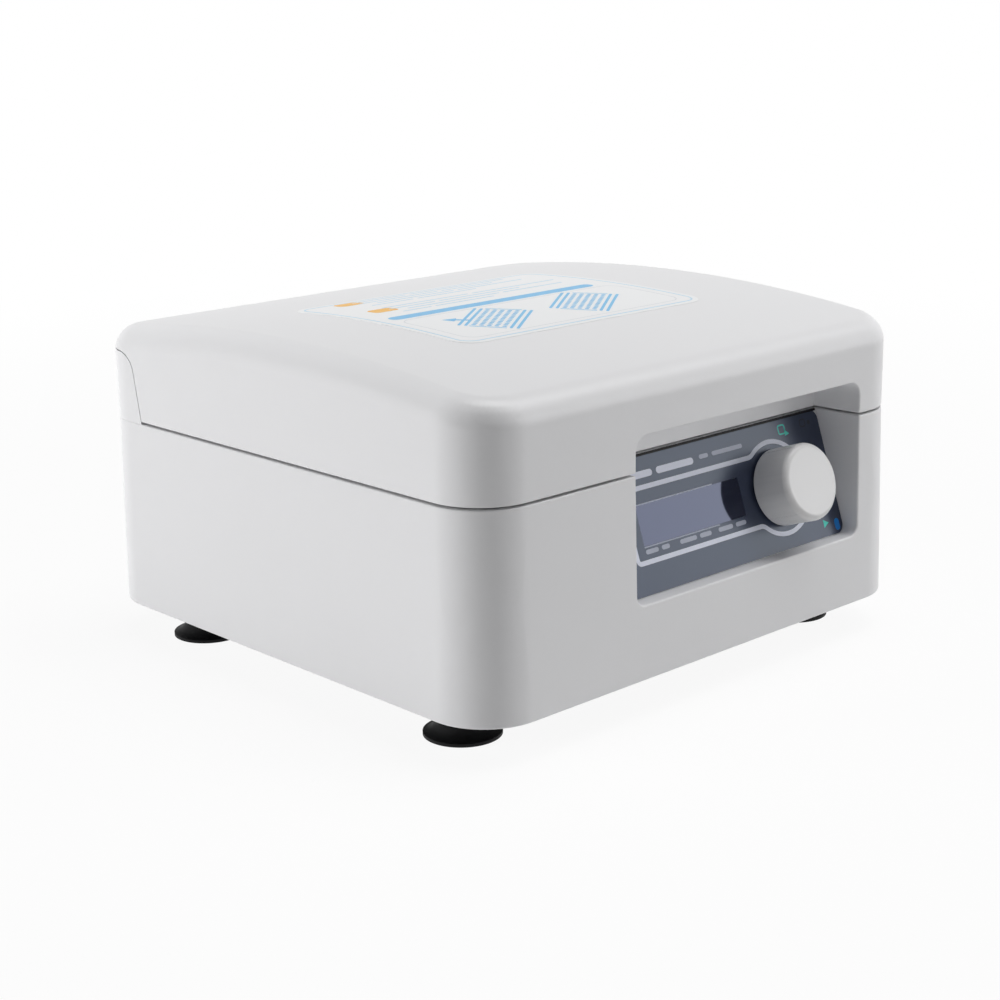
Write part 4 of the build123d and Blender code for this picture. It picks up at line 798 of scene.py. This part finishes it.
cameraView = {"azimuth": -43.0, "elevation": 15.3686, "roll": -0.9721, "distance": 0.92781,
              "target": (0.001554, 0.002326, 0.06033), "lens": 69.962, "sensor": 36.0}


def seenDirectly(paint):
    # one for a ray from the camera, or mirrored or let through by the object; nought for a ray that lights it
    path = paint.node("ShaderNodeLightPath", out="Is Camera Ray")
    rays = [Sock(paint, path.out.node.outputs[name]) for name in ("Is Glossy Ray", "Is Transmission Ray")]
    return path.maths("MAXIMUM", path, path.maths("MAXIMUM", *rays))


def makeFloor():
    # where it is seen, the floor glows: nearly white round the object, where a share of matt keeps its shadow, rising
    # to fully white by a smooth step of the distance from the middle
    paint = Paint("floor")
    x, y = paint.split(paint.place())[:2]
    near, far = stageLook["glowReach"]
    away = paint.node("ShaderNodeMapRange", {"interpolation_type": "SMOOTHSTEP"}, (x * x + y * y) ** 0.5, near, far,
                      stageLook["glowNear"], 1.0)
    patches, mottle = paint.noise(stageLook["floorPatches"]), stageLook["floorMottle"]
    tone = paint.tones(patches, stageLook["floorColour"], 1 - mottle, 1 + mottle)
    matt = paint.node("ShaderNodeBsdfDiffuse", Color=tone)
    glow = paint.node("ShaderNodeEmission", Strength=1.0)
    paint.surface(paint.node("ShaderNodeMixShader", None, seenDirectly(paint) * away, matt, glow))
    side = stageLook["floorReach"]
    mesh = bpy.data.meshes.new("floor")
    mesh.from_pydata([(-side, -side, 0), (side, -side, 0), (side, side, 0), (-side, side, 0)], [], [(0, 1, 2, 3)])
    floor = bpy.data.objects.new("floor", mesh)
    bpy.context.scene.collection.objects.link(floor)
    mesh.materials.append(paint.holder)


def makeWorld():
    # white where it is seen, and dark as a light: the lamps alone light the object
    world = bpy.data.worlds.new("room")
    paint = Paint("room", world)
    paint.surface(paint.node("ShaderNodeBackground", Color=(1.0, 1.0, 1.0, 1.0), Strength=seenDirectly(paint)))
    bpy.context.scene.world = world


def makeLights():
    # the strong low lamps aren't mirrored, so that they leave no glare, and the sheen lamps give the highlights
    middle = Vector(stageLook["lampAim"])
    for name, light in lights.items():
        lamp = bpy.data.lights.new(name + "Light", "AREA")
        lamp.shape = "RECTANGLE"
        lamp.size, lamp.size_y = light["size"]
        lamp.energy = light["power"]
        holder = bpy.data.objects.new(name + "Light", lamp)
        holder.visible_glossy = light["mirrored"]
        toward = Vector(light["toward"]).normalized()
        holder.location = middle + toward * light["distance"]
        holder.rotation_euler = toward.to_track_quat("Z", "Y").to_euler()
        bpy.context.scene.collection.objects.link(holder)


def makeCamera():
    # a camera on a sphere round the target, turned a little about its own axis
    azimuth, elevation, roll = (math.radians(cameraView[key]) for key in ("azimuth", "elevation", "roll"))
    level = math.cos(elevation)
    back = Vector((math.sin(azimuth) * level, -math.cos(azimuth) * level, math.sin(elevation)))
    right = Vector((0, 0, 1)).cross(back).normalized()
    up = back.cross(right)
    rolledRight = right * math.cos(roll) + up * math.sin(roll)
    rolledUp = up * math.cos(roll) - right * math.sin(roll)
    turn = Matrix((rolledRight, rolledUp, back)).transposed().to_4x4()
    data = bpy.data.cameras.new("camera")
    data.lens, data.sensor_width = cameraView["lens"], cameraView["sensor"]
    camera = bpy.data.objects.new("camera", data)
    camera.matrix_world = Matrix.Translation(Vector(cameraView["target"]) + back * cameraView["distance"]) @ turn
    bpy.context.scene.collection.objects.link(camera)
    bpy.context.scene.camera = camera


makeFloor()
makeWorld()
makeLights()
makeCamera()
bpy.context.scene.view_settings.view_transform = "Standard"
print("stage done")
